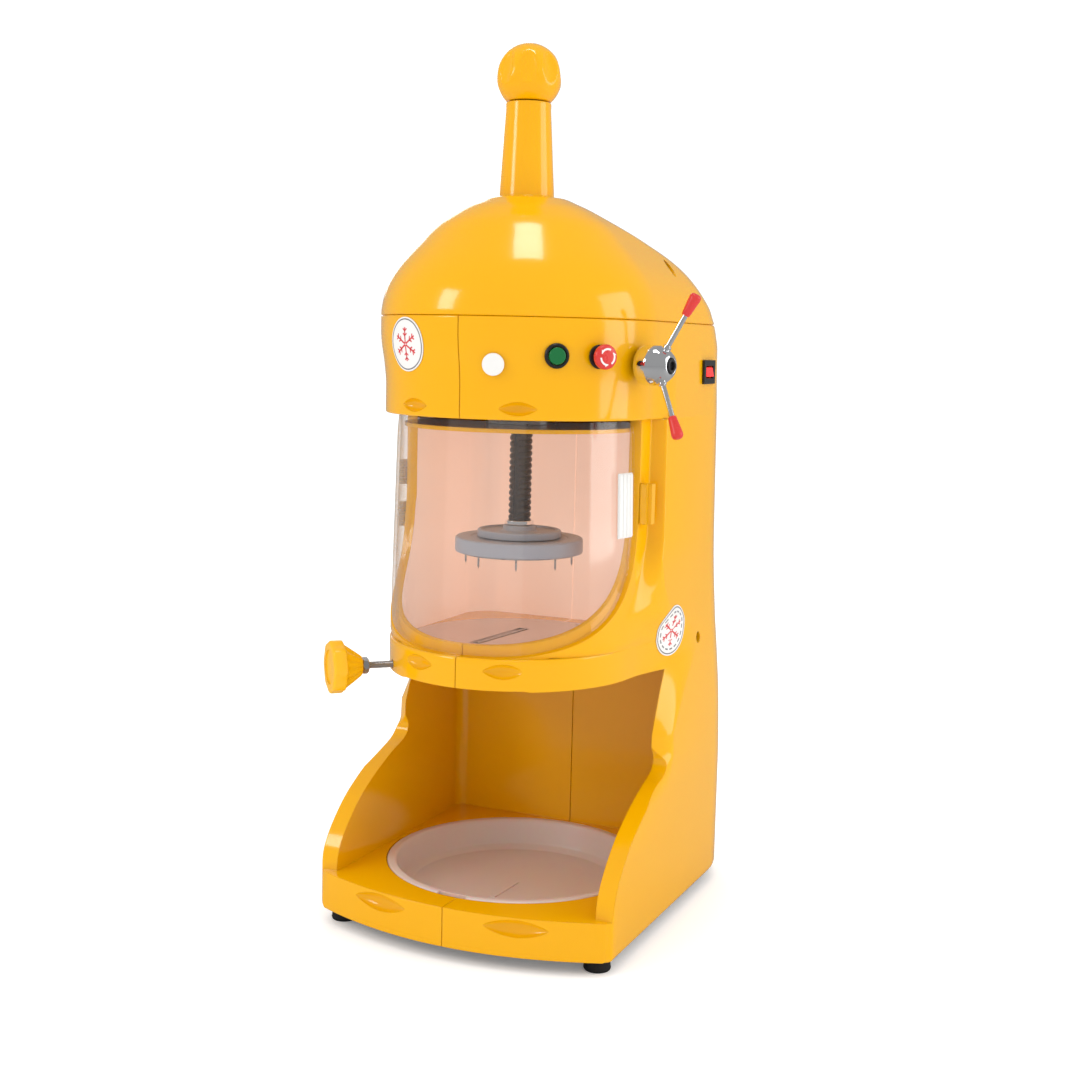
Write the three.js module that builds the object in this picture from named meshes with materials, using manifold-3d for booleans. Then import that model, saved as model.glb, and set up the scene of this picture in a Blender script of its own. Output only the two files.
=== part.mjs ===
import * as THREE from "three";
import { mergeVertices } from "three/addons/utils/BufferGeometryUtils.js";
import Module from "manifold-3d";

const wasm = await Module();
wasm.setup();

// Shaved ice machine, millimetres. X to the viewer's right, Y to the back, Z up.
// Shapes are drawn about the body's centre plane, with the ice press on the spindle axis.
// The finished group is moved so the origin is the centre of the overall box at floor level.

// ---- driving dimensions ----
const HEIGHT = 880;
const HALF_DEPTH = 215;
const BOX_CENTRE_X = 18.25;
const BOX_CENTRE_Y = -1.13;
const SPINDLE_Y = -60;
const SKIN = 4;
const GAP = 0.3;
const BODY_Z0 = 14;
const DECK_Z = 53;
const ARC_SAG = 36;
const REAR_RADIUS = 100;
const ALCOVE_HALF = 142;
const ALCOVE_BACK = 92;
const ALCOVE_TOP = 262;
const RIM_Z = 50.1;
const FLOOR_Z = 287;
const CHAMBER_R = 118;
const CHAMBER_BACK = 82;
const SKIRT_Z = 518;
const CEILING_Z = 505;
const COVER_R_TOP = 124;
const COVER_R_BOTTOM = 129;
const COVER_T = 3;
const COVER_Z0 = 293;
const COVER_Z1 = 516.6;
const TRAY_R = 135.5;
const TRAY_Y = -49;
const DISC_R = 65;
const DISC_Z = 379;
const SCREW_R = 11.5;
const SCREW_TOP = 722;
const CRANK_ANGLE = 13.5;
const CRANK_Z = 571;
const KNOB_ANGLE = 45;
const KNOB_Z = 268.5;
const MOTOR_X = 0;
const MOTOR_Y = 146;
const BELT_Z = 527;

// ---- materials ----
const paint = (color, roughness, metalness = 0) =>
  new THREE.MeshStandardMaterial({ color, roughness, metalness });
const YELLOW = paint(0xf2b705, 0.22);
const YELLOW_KNOB = paint(0xe8b000, 0.35);
const BLACK = paint(0x18181a, 0.5);
const BLACK_STEEL = paint(0x1c1c20, 0.3, 0.7);
const STEEL = paint(0x9a9c9f, 0.28, 1);
const CHROME = paint(0xe6e8ea, 0.06, 1);
const BRASS = paint(0xb08d3e, 0.35, 1);
const GREY = paint(0x8e9097, 0.5);
const RED = paint(0xc9362f, 0.35);
const LIT_RED = paint(0xff2a2a, 0.3);
const GREEN = paint(0x0f6b35, 0.3);
const WHITE = paint(0xf2f2ef, 0.35);
const CLEAR = paint(0xeceef0, 0.05);
const TRAY = paint(0xd9c9b8, 0.3);
const RUBBER = paint(0x101012, 0.8);
const MOTOR_GREY = paint(0x5f666d, 0.5, 0.3);

// ---- solids ----
const Z_AXIS = new THREE.Vector3(0, 0, 1);

// A closed geometry becomes a solid with welded corners and its faces pointing out.
function solid(geometry) {
  const bare = new THREE.BufferGeometry();
  bare.setAttribute("position", geometry.getAttribute("position").clone());
  if (geometry.index) bare.setIndex(geometry.index.clone());
  const welded = mergeVertices(bare, 1e-4);
  const p = welded.getAttribute("position").array;
  const index = welded.index.array;
  const tris = [];
  let volume = 0;
  for (let i = 0; i < index.length; i += 3) {
    const [a, b, c] = [index[i], index[i + 1], index[i + 2]];
    if (a === b || b === c || c === a) continue;
    tris.push(a, b, c);
    const va = new THREE.Vector3().fromArray(p, a * 3);
    const vb = new THREE.Vector3().fromArray(p, b * 3);
    const vc = new THREE.Vector3().fromArray(p, c * 3);
    volume += va.dot(vb.cross(vc));
  }
  if (volume < 0) {
    for (let i = 0; i < tris.length; i += 3) [tris[i], tris[i + 1]] = [tris[i + 1], tris[i]];
  }
  const mesh = new wasm.Mesh({
    numProp: 3,
    vertProperties: new Float32Array(p),
    triVerts: new Uint32Array(tris),
  });
  return new wasm.Manifold(mesh);
}

function geometryOf(body) {
  const mesh = body.getMesh();
  const geometry = new THREE.BufferGeometry();
  geometry.setAttribute("position", new THREE.BufferAttribute(new Float32Array(mesh.vertProperties), 3));
  geometry.setIndex(new THREE.BufferAttribute(new Uint32Array(mesh.triVerts), 1));
  geometry.computeVertexNormals();
  return geometry;
}

// Box between two corners.
function block(x0, x1, y0, y1, z0, z1) {
  const g = new THREE.BoxGeometry(x1 - x0, y1 - y0, z1 - z0);
  g.translate((x0 + x1) / 2, (y0 + y1) / 2, (z0 + z1) / 2);
  return solid(g);
}

// Turned piece: profile of [radius, z] pairs that starts and ends on the axis or closes on itself.
function turned(profile, segments, x = 0, y = 0) {
  const points = profile.map(([r, z]) => new THREE.Vector2(r, z));
  const g = new THREE.LatheGeometry(points, segments);
  g.rotateX(Math.PI / 2);
  g.translate(x, y, 0);
  return solid(g);
}

// Plain cylinder or ring between two heights.
function disc(r, z0, z1, segments, x = 0, y = 0) {
  return turned([[0, z0], [r, z0], [r, z1], [0, z1]], segments, x, y);
}

function ring(r0, r1, z0, z1, segments, x = 0, y = 0) {
  return turned([[r0, z0], [r1, z0], [r1, z1], [r0, z1], [r0, z0]], segments, x, y);
}

// Solid with the local +Z turned to a direction and the local origin moved to a point.
function aimed(body, direction, point) {
  const q = new THREE.Quaternion().setFromUnitVectors(Z_AXIS, direction.clone().normalize());
  const m = new THREE.Matrix4().compose(point, q, new THREE.Vector3(1, 1, 1));
  return body.transform(m.elements);
}

// Side profile of [y, z] pairs swept across X.
function sideways(points, x0, x1) {
  const shape = new THREE.Shape(points.map(([y, z]) => new THREE.Vector2(y, z)));
  const g = new THREE.ExtrudeGeometry(shape, { depth: x1 - x0, bevelEnabled: false });
  const m = new THREE.Matrix4();
  m.set(0, 0, 1, x0, 1, 0, 0, 0, 0, 1, 0, 0, 0, 0, 0, 1);
  g.applyMatrix4(m);
  return solid(g);
}

// Plan outline of [x, y] pairs raised from z0 to z1.
function raised(points, z0, z1, holes = []) {
  const shape = new THREE.Shape(points.map(([x, y]) => new THREE.Vector2(x, y)));
  shape.holes = holes.map((h) => new THREE.Path(h.map(([x, y]) => new THREE.Vector2(x, y))));
  const g = new THREE.ExtrudeGeometry(shape, { depth: z1 - z0, bevelEnabled: false });
  g.translate(0, 0, z0);
  return solid(g);
}

// Skin through level loops that all have the same number of points.
function lofted(loops) {
  const n = loops[0].points.length;
  const position = [];
  const index = [];
  loops.forEach(({ z, points }) => points.forEach(([x, y]) => position.push(x, y, z)));
  for (let k = 0; k < loops.length - 1; k += 1) {
    for (let i = 0; i < n; i += 1) {
      const j = (i + 1) % n;
      const [a, b] = [k * n + i, k * n + j];
      index.push(a, b, b + n, a, b + n, a + n);
    }
  }
  const cap = (k) => {
    const contour = loops[k].points.map(([x, y]) => new THREE.Vector2(x, y));
    return THREE.ShapeUtils.triangulateShape(contour, []).map((t) => t.map((v) => v + k * n));
  };
  cap(0).forEach(([a, b, c]) => index.push(a, c, b));
  cap(loops.length - 1).forEach(([a, b, c]) => index.push(a, b, c));
  const g = new THREE.BufferGeometry();
  g.setAttribute("position", new THREE.Float32BufferAttribute(position, 3));
  g.setIndex(index);
  return solid(g);
}

// ---- body outline ----
const smooth = (t) => {
  const u = Math.min(1, Math.max(0, t));
  return u * u * (3 - 2 * u);
};

function at(table, z) {
  let k = 0;
  while (k < table.length - 2 && table[k + 1][0] < z) k += 1;
  const [[z0, a], [z1, b]] = [table[k], table[k + 1]];
  const t = Math.min(1, Math.max(0, (z - z0) / (z1 - z0)));
  return a + (b - a) * t;
}

// Half width, rear, front curve and the shoulder where the front curve meets the side panels.
const HALF_WIDTH = [[14, 158.5], [20, 160], [130, 160], [200, 158], [263, 154], [300, 151], [370, 147],
  [420, 146], [518, 144.6], [560, 143.2], [613, 142]];
const REAR = [[14, 213], [20, 215], [200, 215], [300, 212], [587, 211], [600, 206], [613, 199]];
const FRONT_X = [[200, 127], [293, 128], [300, 130], [517.9, 130], [518, 136.5], [545, 136.5], [565, 138],
  [590, 141.5], [600, 142], [613, 142]];
const FRONT_Y = [[200, 136], [293, 136], [293.1, 128], [517.9, 128], [518, 136.5], [545, 136.5], [565, 138],
  [590, 141.5], [600, 142], [613, 142]];
const SHOULDER_Y = [[200, -60], [240, -66], [280, -80], [300, -86], [320, -88], [344, -72], [360, -58],
  [380, -46], [400, -38], [517.9, -36], [518, -60], [613, -60]];
const SHOULDER_S = [[200, 45], [240, 90], [280, 140], [300, 136], [320, 90], [344, 50], [360, 28],
  [380, 12], [400, 7], [517.9, 7], [518, 60], [613, 60]];
const BASE_MIX = [[140, 1], [178, 0]];
const FRONT_STEPS = 8;
const SHOULDER_STEPS = 7;
const REAR_STEPS = 6;

// Plan outline of the body at one height, moved in by the given offset.
function outline(z, inset) {
  const w = at(HALF_WIDTH, z) - inset;
  const a = at(FRONT_X, z) - inset;
  const b = at(FRONT_Y, z) - inset;
  const rear = at(REAR, z) - inset;
  const s0 = at(SHOULDER_Y, z) + (inset > 0 ? 1 : 0);
  const s = at(SHOULDER_S, z);
  const mix = at(BASE_MIX, z);
  const rr = REAR_RADIUS - inset;
  const front = -HALF_DEPTH + inset;
  const half = [];
  const reach = (y) => (y < SPINDLE_Y ? a * Math.sqrt(1 - ((y - SPINDLE_Y) / b) ** 2) : a);
  const end = s0 < SPINDLE_Y ? Math.acos((SPINDLE_Y - s0) / b) : Math.PI / 2;
  const baseCorner = front + ARC_SAG;
  for (let i = 0; i < FRONT_STEPS; i += 1) {
    const t = (end * i) / FRONT_STEPS;
    const bx = (w * i) / FRONT_STEPS;
    const by = front + ARC_SAG * (bx / w) ** 2;
    const ux = a * Math.sin(t);
    const uy = SPINDLE_Y - b * Math.cos(t);
    half.push([ux + (bx - ux) * mix, uy + (by - uy) * mix]);
  }
  for (let j = 0; j <= SHOULDER_STEPS; j += 1) {
    const y = s0 + (s * j) / SHOULDER_STEPS;
    const ux = reach(y) + (w - a) * smooth(j / SHOULDER_STEPS);
    const nip = j === 0 ? 4 : 0;
    const by = baseCorner + (j * 150) / SHOULDER_STEPS + (j === 1 ? -16 : 0);
    half.push([ux + (w - nip - ux) * mix, y + (by - y) * mix]);
  }
  for (let k = 0; k <= REAR_STEPS; k += 1) {
    const t = (Math.PI / 2) * (k / REAR_STEPS);
    half.push([w - rr + rr * Math.cos(t), rear - rr + rr * Math.sin(t)]);
  }
  const mirrored = half.slice(1).reverse().map(([x, y]) => [-x, y]);
  return half.concat(mirrored);
}

const OUTER_LEVELS = [14, 20, 140, 156, 170, 185, 215, 250, 292.9, 293.1, 312, 330, 348, 364, 382, 400, 517.9,
  518.1, 545, 567, 590, 601, 613];
const INNER_LEVELS = [10, 140, 178, 230, 289, 320, 362, 400, 513.9, 545, 590, 615];

const outer = lofted(OUTER_LEVELS.map((z) => ({ z, points: outline(z, 0) })));
const inner = lofted(INNER_LEVELS.map((z) => ({ z, points: outline(Math.min(613, Math.max(20, z)), SKIN) })));

// Open C seen from the side: the ice bowl's alcove between the deck and the skirt.
const ALCOVE_CURVE = [[-153, 257], [-125, 249], [-97, 238], [-78, 226], [-60, 212], [-46, 198], [-36, 184],
  [-31, 175], [-33, 167], [-42, 160], [-60, 154], [-80, 146], [-105, 134], [-130, 119], [-150, 102],
  [-165, 85], [-173, 70], [-176, DECK_Z]];

function alcoveCut(grow) {
  const mid = 176;
  const curve = ALCOVE_CURVE.map(([y, z]) => {
    const d = Math.hypot(y + 240, (z - mid) * 1.4);
    return [y + (grow * (y + 240)) / d, z + (grow * (z - mid) * 1.4) / d];
  });
  const top = [[-260, 263 + grow], [-178, 263 + grow]];
  const bottom = [[-176 + grow, DECK_Z - grow], [-260, DECK_Z - grow]];
  return sideways(top.concat(curve.slice(0, -1), bottom), -200, 200);
}

function roundedBack(half, y0, y1, r) {
  const points = [[-half, y0], [half, y0]];
  for (let k = 0; k <= 5; k += 1) {
    const t = (Math.PI / 2) * (k / 5);
    points.push([half - r + r * Math.cos(t), y1 - r + r * Math.sin(t)]);
  }
  const back = points.slice(2).reverse().map(([x, y]) => [-x, y]);
  return points.concat(back);
}

function chamberPlan(grow) {
  const r = CHAMBER_R + grow;
  const points = roundedBack(r, SPINDLE_Y, CHAMBER_BACK + grow, 30 + grow).slice(1);
  const front = [];
  for (let k = 0; k < 18; k += 1) {
    const t = Math.PI + (Math.PI * k) / 18;
    front.push([r * Math.cos(t), SPINDLE_Y + r * Math.sin(t)]);
  }
  return points.concat(front);
}

// Lower edge of the clear cover seen from the side: low in front, swept up at the ends.
const COVER_EDGE = [[-192, 293], [-176, 295], [-156, 301], [-136, 309], [-118, 319], [-100, 333],
  [-86, 349], [-75, 368], [-68, 390], [-65, 410]];

function aboveCoverEdge(drop, top, back) {
  const low = COVER_EDGE.map(([y, z]) => [y + back, z - drop]);
  const edge = [[-230, COVER_Z0 - drop]].concat(low, [[back - 62.5, 430], [back - 62.5, top], [-230, top]]);
  return sideways(edge, -200, 200);
}

// ---- body shells ----
const alcoveRoom = raised(roundedBack(ALCOVE_HALF, -260, ALCOVE_BACK, 12), DECK_Z, ALCOVE_TOP);
const alcoveRoomGrown = raised(
  roundedBack(ALCOVE_HALF + SKIN, -260, ALCOVE_BACK + SKIN, 16),
  DECK_Z - SKIN,
  ALCOVE_TOP + SKIN,
);
const alcove = alcoveCut(0).add(alcoveRoom);
const alcoveGrown = alcoveCut(SKIN).add(alcoveRoomGrown);
const chamber = raised(chamberPlan(0), FLOOR_Z, CEILING_Z + SKIN + 1);
const chamberGrown = raised(chamberPlan(SKIN), FLOOR_Z - SKIN, CEILING_Z + SKIN);
const doorReach = disc(131.5, 280, SKIRT_Z, 56, 0, SPINDLE_Y);
const lipCore = disc(122.3, 280, SKIRT_Z, 56, 0, SPINDLE_Y);
const doorway = aboveCoverEdge(-9, SKIRT_Z, 0).intersect(doorReach);
const doorSlot = aboveCoverEdge(1.2, SKIRT_Z, 0).intersect(doorReach.subtract(lipCore));
const doorGrown = aboveCoverEdge(1.2 + SKIN, SKIRT_Z, SKIN)
  .intersect(ring(CHAMBER_R, 180, 280, SKIRT_Z, 56, 0, SPINDLE_Y));
const trayLedge = disc(TRAY_R + 5, 43.5, DECK_Z, 44, 0, TRAY_Y);
const rooms = inner.subtract(alcoveGrown).subtract(chamberGrown).subtract(doorGrown).subtract(trayLedge);

// Eye-shaped scoops sunk into the skin: [x, y, z, turn, long, tall, deep], mirrored about the centre plane.
const SCOOPS = [[54.4, -185.2, 528.5, 23.5, 38, 13, 6.5], [46.2, -187, 281.5, 19, 42, 14.5, 6],
  [73.8, -207.3, 42.3, 12, 68, 17, 7.5]];

function scoop([x, y, z, turn, long, tall, deep], side, grow) {
  const g = grow > 0 ? new THREE.SphereGeometry(1, 8, 6) : new THREE.SphereGeometry(1, 14, 8);
  g.scale(long / 2 + grow, deep + grow, tall / 2 + grow);
  g.rotateZ(THREE.MathUtils.degToRad(side * turn));
  g.translate(side * x, y, z);
  return solid(g);
}
const scoops = SCOOPS.flatMap((s) => [scoop(s, 1, 0), scoop(s, -1, 0)]);
const scoopPockets = SCOOPS.flatMap((s) => [scoop(s, 1, 3), scoop(s, -1, 3)]);

// Direction in plan, measured from the front towards +X.
const plan = (degrees) => {
  const a = THREE.MathUtils.degToRad(degrees);
  return new THREE.Vector3(Math.sin(a), -Math.cos(a), 0);
};
const onSpindle = (z) => new THREE.Vector3(0, SPINDLE_Y, z);

// Turned piece whose axis runs out from the spindle: profile pairs are [radius, distance from the spindle].
const radial = (profile, segments, degrees, z) =>
  aimed(turned(profile, segments), plan(degrees), onSpindle(z));
const rod = (r, from, to) => [[0, from], [r, from], [r, to], [0, to]];
const sleeve = (r0, r1, from, to) => [[r0, from], [r1, from], [r1, to], [r0, to], [r0, from]];

const CRANK_PLAN = 90 - CRANK_ANGLE;
const KNOB_PLAN = -(90 - KNOB_ANGLE);
const START_PLAN = 37.7;
const STOP_PLAN = 55;
const CAP_PLAN = 14;
const BUTTON_Z = 578;
const CAP_Z = 569;

const hollow = scoopPockets.reduce((rest, pocket) => rest.subtract(pocket), rooms);
let body = outer.subtract(alcove).subtract(chamber).subtract(doorway).subtract(doorSlot).subtract(hollow);
const cuts = [
  ...scoops,
  disc(129.6, 40, 60, 44, 0, TRAY_Y),
  disc(TRAY_R + 1, RIM_Z - GAP, 60, 44, 0, TRAY_Y),
  block(-52, 16, -117, -1, 255, 292),
  radial(rod(6.2, 120, 150), 16, CRANK_PLAN, CRANK_Z),
  radial(rod(4.4, 64, 150), 14, KNOB_PLAN, KNOB_Z),
  radial(rod(8.6, 120, 150), 20, START_PLAN, BUTTON_Z),
  radial(rod(6.6, 120, 150), 16, STOP_PLAN, BUTTON_Z),
  radial(rod(5.6, 120, 150), 16, CAP_PLAN, CAP_Z),
  block(132, 150, 79, 109, 554, 573),
  block(46, 74, 200, 220, 74, 98),
];
for (let k = 0; k < 5; k += 1) {
  cuts.push(block(22, 74, 200, 220, 420 + 14 * k, 425 + 14 * k));
  cuts.push(block(-74, -22, 200, 220, 420 + 14 * k, 425 + 14 * k));
}
cuts.forEach((cut) => {
  body = body.subtract(cut);
});

const shellRight = body.intersect(block(GAP / 2, 300, -300, 300, 0, 700));
const shellLeft = body.intersect(block(-300, -GAP / 2, -300, 300, 0, 700));

// ---- hood, neck and ball ----
const HOOD = [[613.3, 142, 198], [620, 141.6, 193], [630, 139.8, 187], [641, 136.4, 176], [652, 131, 167],
  [664, 123, 157], [676, 113, 142], [687, 103, 118], [697, 94, 84], [706, 84.5, 48], [714, 73, 22],
  [720.5, 62, 4], [725.5, 51, -9], [728.6, 44, -16], [730, 40, -20]];

function hoodLoops(rows, inset, shift) {
  return rows.map(([z, w, rear], k) => {
    const r = w - inset;
    const y1 = rear - inset;
    const corner = Math.min(REAR_RADIUS, w) - inset;
    const half = [];
    for (let i = 0; i < 9; i += 1) {
      const t = (Math.PI / 2) * (i / 9);
      half.push([r * Math.sin(t), SPINDLE_Y - r * Math.cos(t)]);
    }
    half.push([r, SPINDLE_Y]);
    half.push([r, (SPINDLE_Y + y1 - corner) / 2]);
    for (let i = 0; i <= 6; i += 1) {
      const t = (Math.PI / 2) * (i / 6);
      half.push([r - corner + corner * Math.cos(t), y1 - corner + corner * Math.sin(t)]);
    }
    const back = half.slice(1, r > corner ? half.length : half.length - 1).reverse();
    const points = half.concat(back.map(([x, y]) => [-x, y]));
    if (r <= corner) points.splice(half.length, 0, [-1e-3, y1]);
    return { z: k === 0 ? z - shift : z - (inset * k) / rows.length, points };
  });
}

const hoodInside = HOOD.filter((row, k) => k % 2 === 0);
const hood = lofted(hoodLoops(HOOD, 0, 0))
  .subtract(lofted(hoodLoops(hoodInside, 3, 3)))
  .subtract(disc(21.5, 700, 740, 32, 0, SPINDLE_Y));

const screwSleeve = turned(
  [[23, 730.3], [27.4, 730.3], [27.2, 738], [22.2, 817], [22.6, 823.2], [18.2, 823.2], [18.2, 815], [23, 738],
    [23, 730.3]],
  32,
  0,
  SPINDLE_Y,
);

const BALL_R = 32.2;
const BALL_Z = HEIGHT - BALL_R;
const ballArc = [];
for (let k = 0; k <= 10; k += 1) {
  const t = -0.85 + (Math.PI / 2 + 0.85) * (k / 10);
  ballArc.push([BALL_R * Math.cos(t), BALL_Z + BALL_R * Math.sin(t)]);
}
ballArc[ballArc.length - 1][0] = 0;
let ball = turned([[0, ballArc[0][1]]].concat(ballArc), 28, 0, SPINDLE_Y);
for (let k = 0; k < 8; k += 1) {
  const g = new THREE.SphereGeometry(1, 10, 6);
  g.scale(9.5, 5, 15);
  g.rotateZ(THREE.MathUtils.degToRad(22.5 + 45 * k));
  const out = plan(22.5 + 45 * k).multiplyScalar(33.4);
  g.translate(out.x, SPINDLE_Y + out.y, BALL_Z + 7);
  ball = ball.subtract(solid(g));
}

// ---- base, feet, tray ----
const basePlate = raised(outline(20, SKIN + GAP), BODY_Z0, BODY_Z0 + 2);
const footProfile = [[0, 0], [12.4, 0], [13.4, 2], [12, 12.5], [11, BODY_Z0 - GAP], [0, BODY_Z0 - GAP]];
const FEET = [["front_left", -140, -163], ["front_right", 140, -163], ["rear_left", -112, 158],
  ["rear_right", 112, 158]];

const tray = turned(
  [[0, 21], [112, 21], [119.5, 27], [128.4, RIM_Z], [TRAY_R, RIM_Z], [TRAY_R, RIM_Z + 2.6],
    [TRAY_R - 1, RIM_Z + 3.6], [127.5, RIM_Z + 3.6], [125.6, RIM_Z + 1.8], [117.6, 28.4], [111, 23.6], [0, 23.6]],
  44,
  0,
  TRAY_Y,
);

// ---- blade set: a slot in the steel plate, the knife rising through it, its clamp and its slide ----
const SLOT_X = -17.5;
const SLOT_Y = -59;
const SLOT_TURN = THREE.MathUtils.degToRad(-5.5);
const BLADE_TILT = THREE.MathUtils.degToRad(30);
const BLADE_EDGE_Z = 290.4;

const inSlot = (piece) => {
  const m = new THREE.Matrix4().makeRotationZ(SLOT_TURN);
  m.setPosition(SLOT_X, SLOT_Y, 0);
  return piece.transform(m.elements);
};

// Box laid along the blade's slope: from and to run back from the edge, low and high across the slope.
function onSlope(from, to, low, high, y0, y1) {
  const g = new THREE.BoxGeometry(to - from, y1 - y0, high - low);
  g.translate(-(from + to) / 2, (y0 + y1) / 2, (low + high) / 2);
  g.rotateY(-BLADE_TILT);
  g.translate(0, 0, BLADE_EDGE_Z);
  return solid(g);
}

const bladePlate = disc(112, FLOOR_Z + GAP, FLOOR_Z + GAP + 2, 48, 0, SPINDLE_Y)
  .subtract(inSlot(block(-8.5, 4, -50, 50, 280, 295)));
const blade = inSlot(onSlope(0, 25, -1.6, 0, -47, 47).subtract(onSlope(15, 19, -5, 5, -34, -30))
  .subtract(onSlope(15, 19, -5, 5, 30, 34)));
const clampHoles = onSlope(14.8, 19.2, -5, 9, -34.2, -29.8).add(onSlope(14.8, 19.2, -5, 9, 29.8, 34.2));
const bladeClamp = inSlot(onSlope(12.5, 22.5, GAP, 2.6, -44, 44).subtract(clampHoles));
const clampScrew = (y) => inSlot(
  onSlope(15.3, 18.7, -1.5, 2.9, y - 1.7, y + 1.7).add(onSlope(14, 20, 2.9, 3.7, y - 3, y + 3)),
);
const bladeCarriage = inSlot(
  block(-26, -3.5, -50, 50, 266.5, 300).subtract(onSlope(-20, 60, -1.9, 40, -60, 60)),
);

// ---- thickness adjuster ----
const KNOB_FROM = 163.4;
const KNOB_RIM = 183;
const KNOB_TO = 196;

function lobedLoops(levels, count) {
  return levels.map(([z, r, lobe, teeth]) => ({
    z,
    points: Array.from({ length: count }, (_, i) => {
      const t = (2 * Math.PI * i) / count;
      const rr = r + lobe * Math.cos(teeth * t);
      return [rr * Math.cos(t), rr * Math.sin(t)];
    }),
  }));
}

const knobBody = lofted(lobedLoops([[KNOB_FROM, 9.6, 0.5, 12], [KNOB_RIM - 1.4, 22, 1, 12],
  [KNOB_RIM - 0.6, 24.4, 0.6, 8], [KNOB_RIM + 1, 25.6, 0.8, 8], [KNOB_TO - 2, 25.6, 0.8, 8],
  [KNOB_TO - 0.4, 24.6, 0.8, 8], [KNOB_TO, 22.8, 0.6, 8]], 48));
const adjustKnob = aimed(
  knobBody.subtract(turned(rod(4.1, 160, 181), 14)).subtract(turned(rod(17, KNOB_TO - 1.5, 200), 28)),
  plan(KNOB_PLAN),
  onSpindle(KNOB_Z),
);
const adjustNut = radial(rod(8.4, 156.5, 162.9), 6, KNOB_PLAN, KNOB_Z)
  .subtract(radial(rod(3.95, 150, 170), 14, KNOB_PLAN, KNOB_Z));
const adjustScrew = radial([[0, 70], [3.6, 74], [3.6, 180], [0, 180]], 14, KNOB_PLAN, KNOB_Z);

// ---- clear cover ----
const coverShell = turned(
  [[COVER_R_BOTTOM + 1 - COVER_T, 285], [COVER_R_BOTTOM + 1, 285], [COVER_R_TOP, COVER_Z1],
    [COVER_R_TOP - COVER_T, COVER_Z1], [COVER_R_BOTTOM + 1 - COVER_T, 285]],
  72,
  0,
  SPINDLE_Y,
);
const clearCover = coverShell.intersect(aboveCoverEdge(-GAP, COVER_Z1, -1.3));

// Ribbed strip that follows the cover's outside near its free edge, at the given inner radius.
function gripPlan(radius) {
  const inside = [];
  const outside = [];
  for (let k = 0; k <= 16; k += 1) {
    const t = THREE.MathUtils.degToRad(-6 - (11 * k) / 16);
    const r = radius + (k % 4 === 0 ? 1.1 : k % 4 === 2 ? 2.6 : 2.3);
    outside.push([r * Math.cos(t), SPINDLE_Y + r * Math.sin(t)]);
    inside.push([radius * Math.cos(t), SPINDLE_Y + radius * Math.sin(t)]);
  }
  return inside.concat(outside.reverse());
}
const coverGrip = lofted([{ z: 404, points: gripPlan(127.3) }, { z: 467, points: gripPlan(125.7) }]);

const HINGE_X = -134.6;
const HINGE_Y = -63.5;
const hinge = (z0, z1) => disc(3.2, z0, z1, 14, HINGE_X, HINGE_Y).add(block(-133, -130.3, -62, -46, z0, z1));
const latchBlock = block(130.4, 141.6, -62, -49, 415.5, 455.5).subtract(block(138, 150, -70, -59, 400, 470));
const coverSwitch = block(123, 139, -26, -8, 424, 448);

// ---- ice press ----
const leadScrew = turned(rod(SCREW_R, 394.6, SCREW_TOP), 20, 0, SPINDLE_Y)
  .subtract(block(-2.2, 2.2, SPINDLE_Y - 14, SPINDLE_Y - 8.4, 414, 730));
const screwCollar = ring(11.9, 14.5, 406.4, 411, 22, 0, SPINDLE_Y);
const discHub = turned(
  [[11.8, 394.3], [42.6, 394.3], [42.6, 400.6], [41.4, 401.8], [19, 401.8], [16.5, 406.1], [11.8, 406.1],
    [11.8, 394.3]],
  32,
  0,
  SPINDLE_Y,
);
const pressDisc = turned(
  [[0, DISC_Z], [DISC_R - 1, DISC_Z], [DISC_R, DISC_Z + 1], [DISC_R, DISC_Z + 14], [DISC_R - 1, DISC_Z + 15],
    [0, DISC_Z + 15]],
  40,
  0,
  SPINDLE_Y,
);
let spikePlate = disc(60, DISC_Z - 1.5, DISC_Z - GAP, 32, 0, SPINDLE_Y);
for (let k = 0; k < 8; k += 1) {
  const p = plan(22.5 + 45 * k).multiplyScalar(54);
  spikePlate = spikePlate.add(
    turned([[0, DISC_Z - 14], [1.1, DISC_Z - 11], [1.1, DISC_Z - 1], [0, DISC_Z - 1]], 8, p.x, SPINDLE_Y + p.y),
  );
}

// ---- drive in the head ----
const ceilingPlate = raised(chamberPlan(-0.5), CEILING_Z, CEILING_Z + SKIN)
  .subtract(disc(22, 490, 520, 28, 0, SPINDLE_Y));
const spindleBearing = ring(21.8, 36, 509.3, 521, 26, 0, SPINDLE_Y);
const drivePulley = turned(
  [[12.2, 507], [21.5, 507], [21.5, 525], [78, 525], [78, 528], [74, 528], [74, 538], [78, 538],
    [78, 541], [12.2, 541], [12.2, 507]],
  32,
  0,
  SPINDLE_Y,
);
const feedGear = turned(
  [[12.2, 545.4], [45, 545.4], [45, 549], [41, 555], [19, 555], [19, 596], [12.2, 596], [12.2, 545.4]],
  22,
  0,
  SPINDLE_Y,
);
const bevelPinion = radial([[5.3, 27], [10.5, 27], [15.2, 39], [13, 43], [13, 50], [5.3, 50], [5.3, 27]],
  20, CRANK_PLAN, CRANK_Z);
const crankShaft = radial(rod(5, 25, 172), 16, CRANK_PLAN, CRANK_Z);
const motorBody = turned(
  [[0, 388], [38, 391], [43, 396], [43, 488], [38, 493], [16, 499.5], [0, 499.5]],
  24,
  MOTOR_X,
  MOTOR_Y,
).subtract(disc(6.4, 480, 505, 16, MOTOR_X, MOTOR_Y));
const motorBracket = block(-70, 70, 87, 190, 500, 503.5)
  .add(block(-70, 70, 86.4, 90, 440, 503.5))
  .subtract(disc(17, 490, 510, 20, MOTOR_X, MOTOR_Y));
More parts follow.
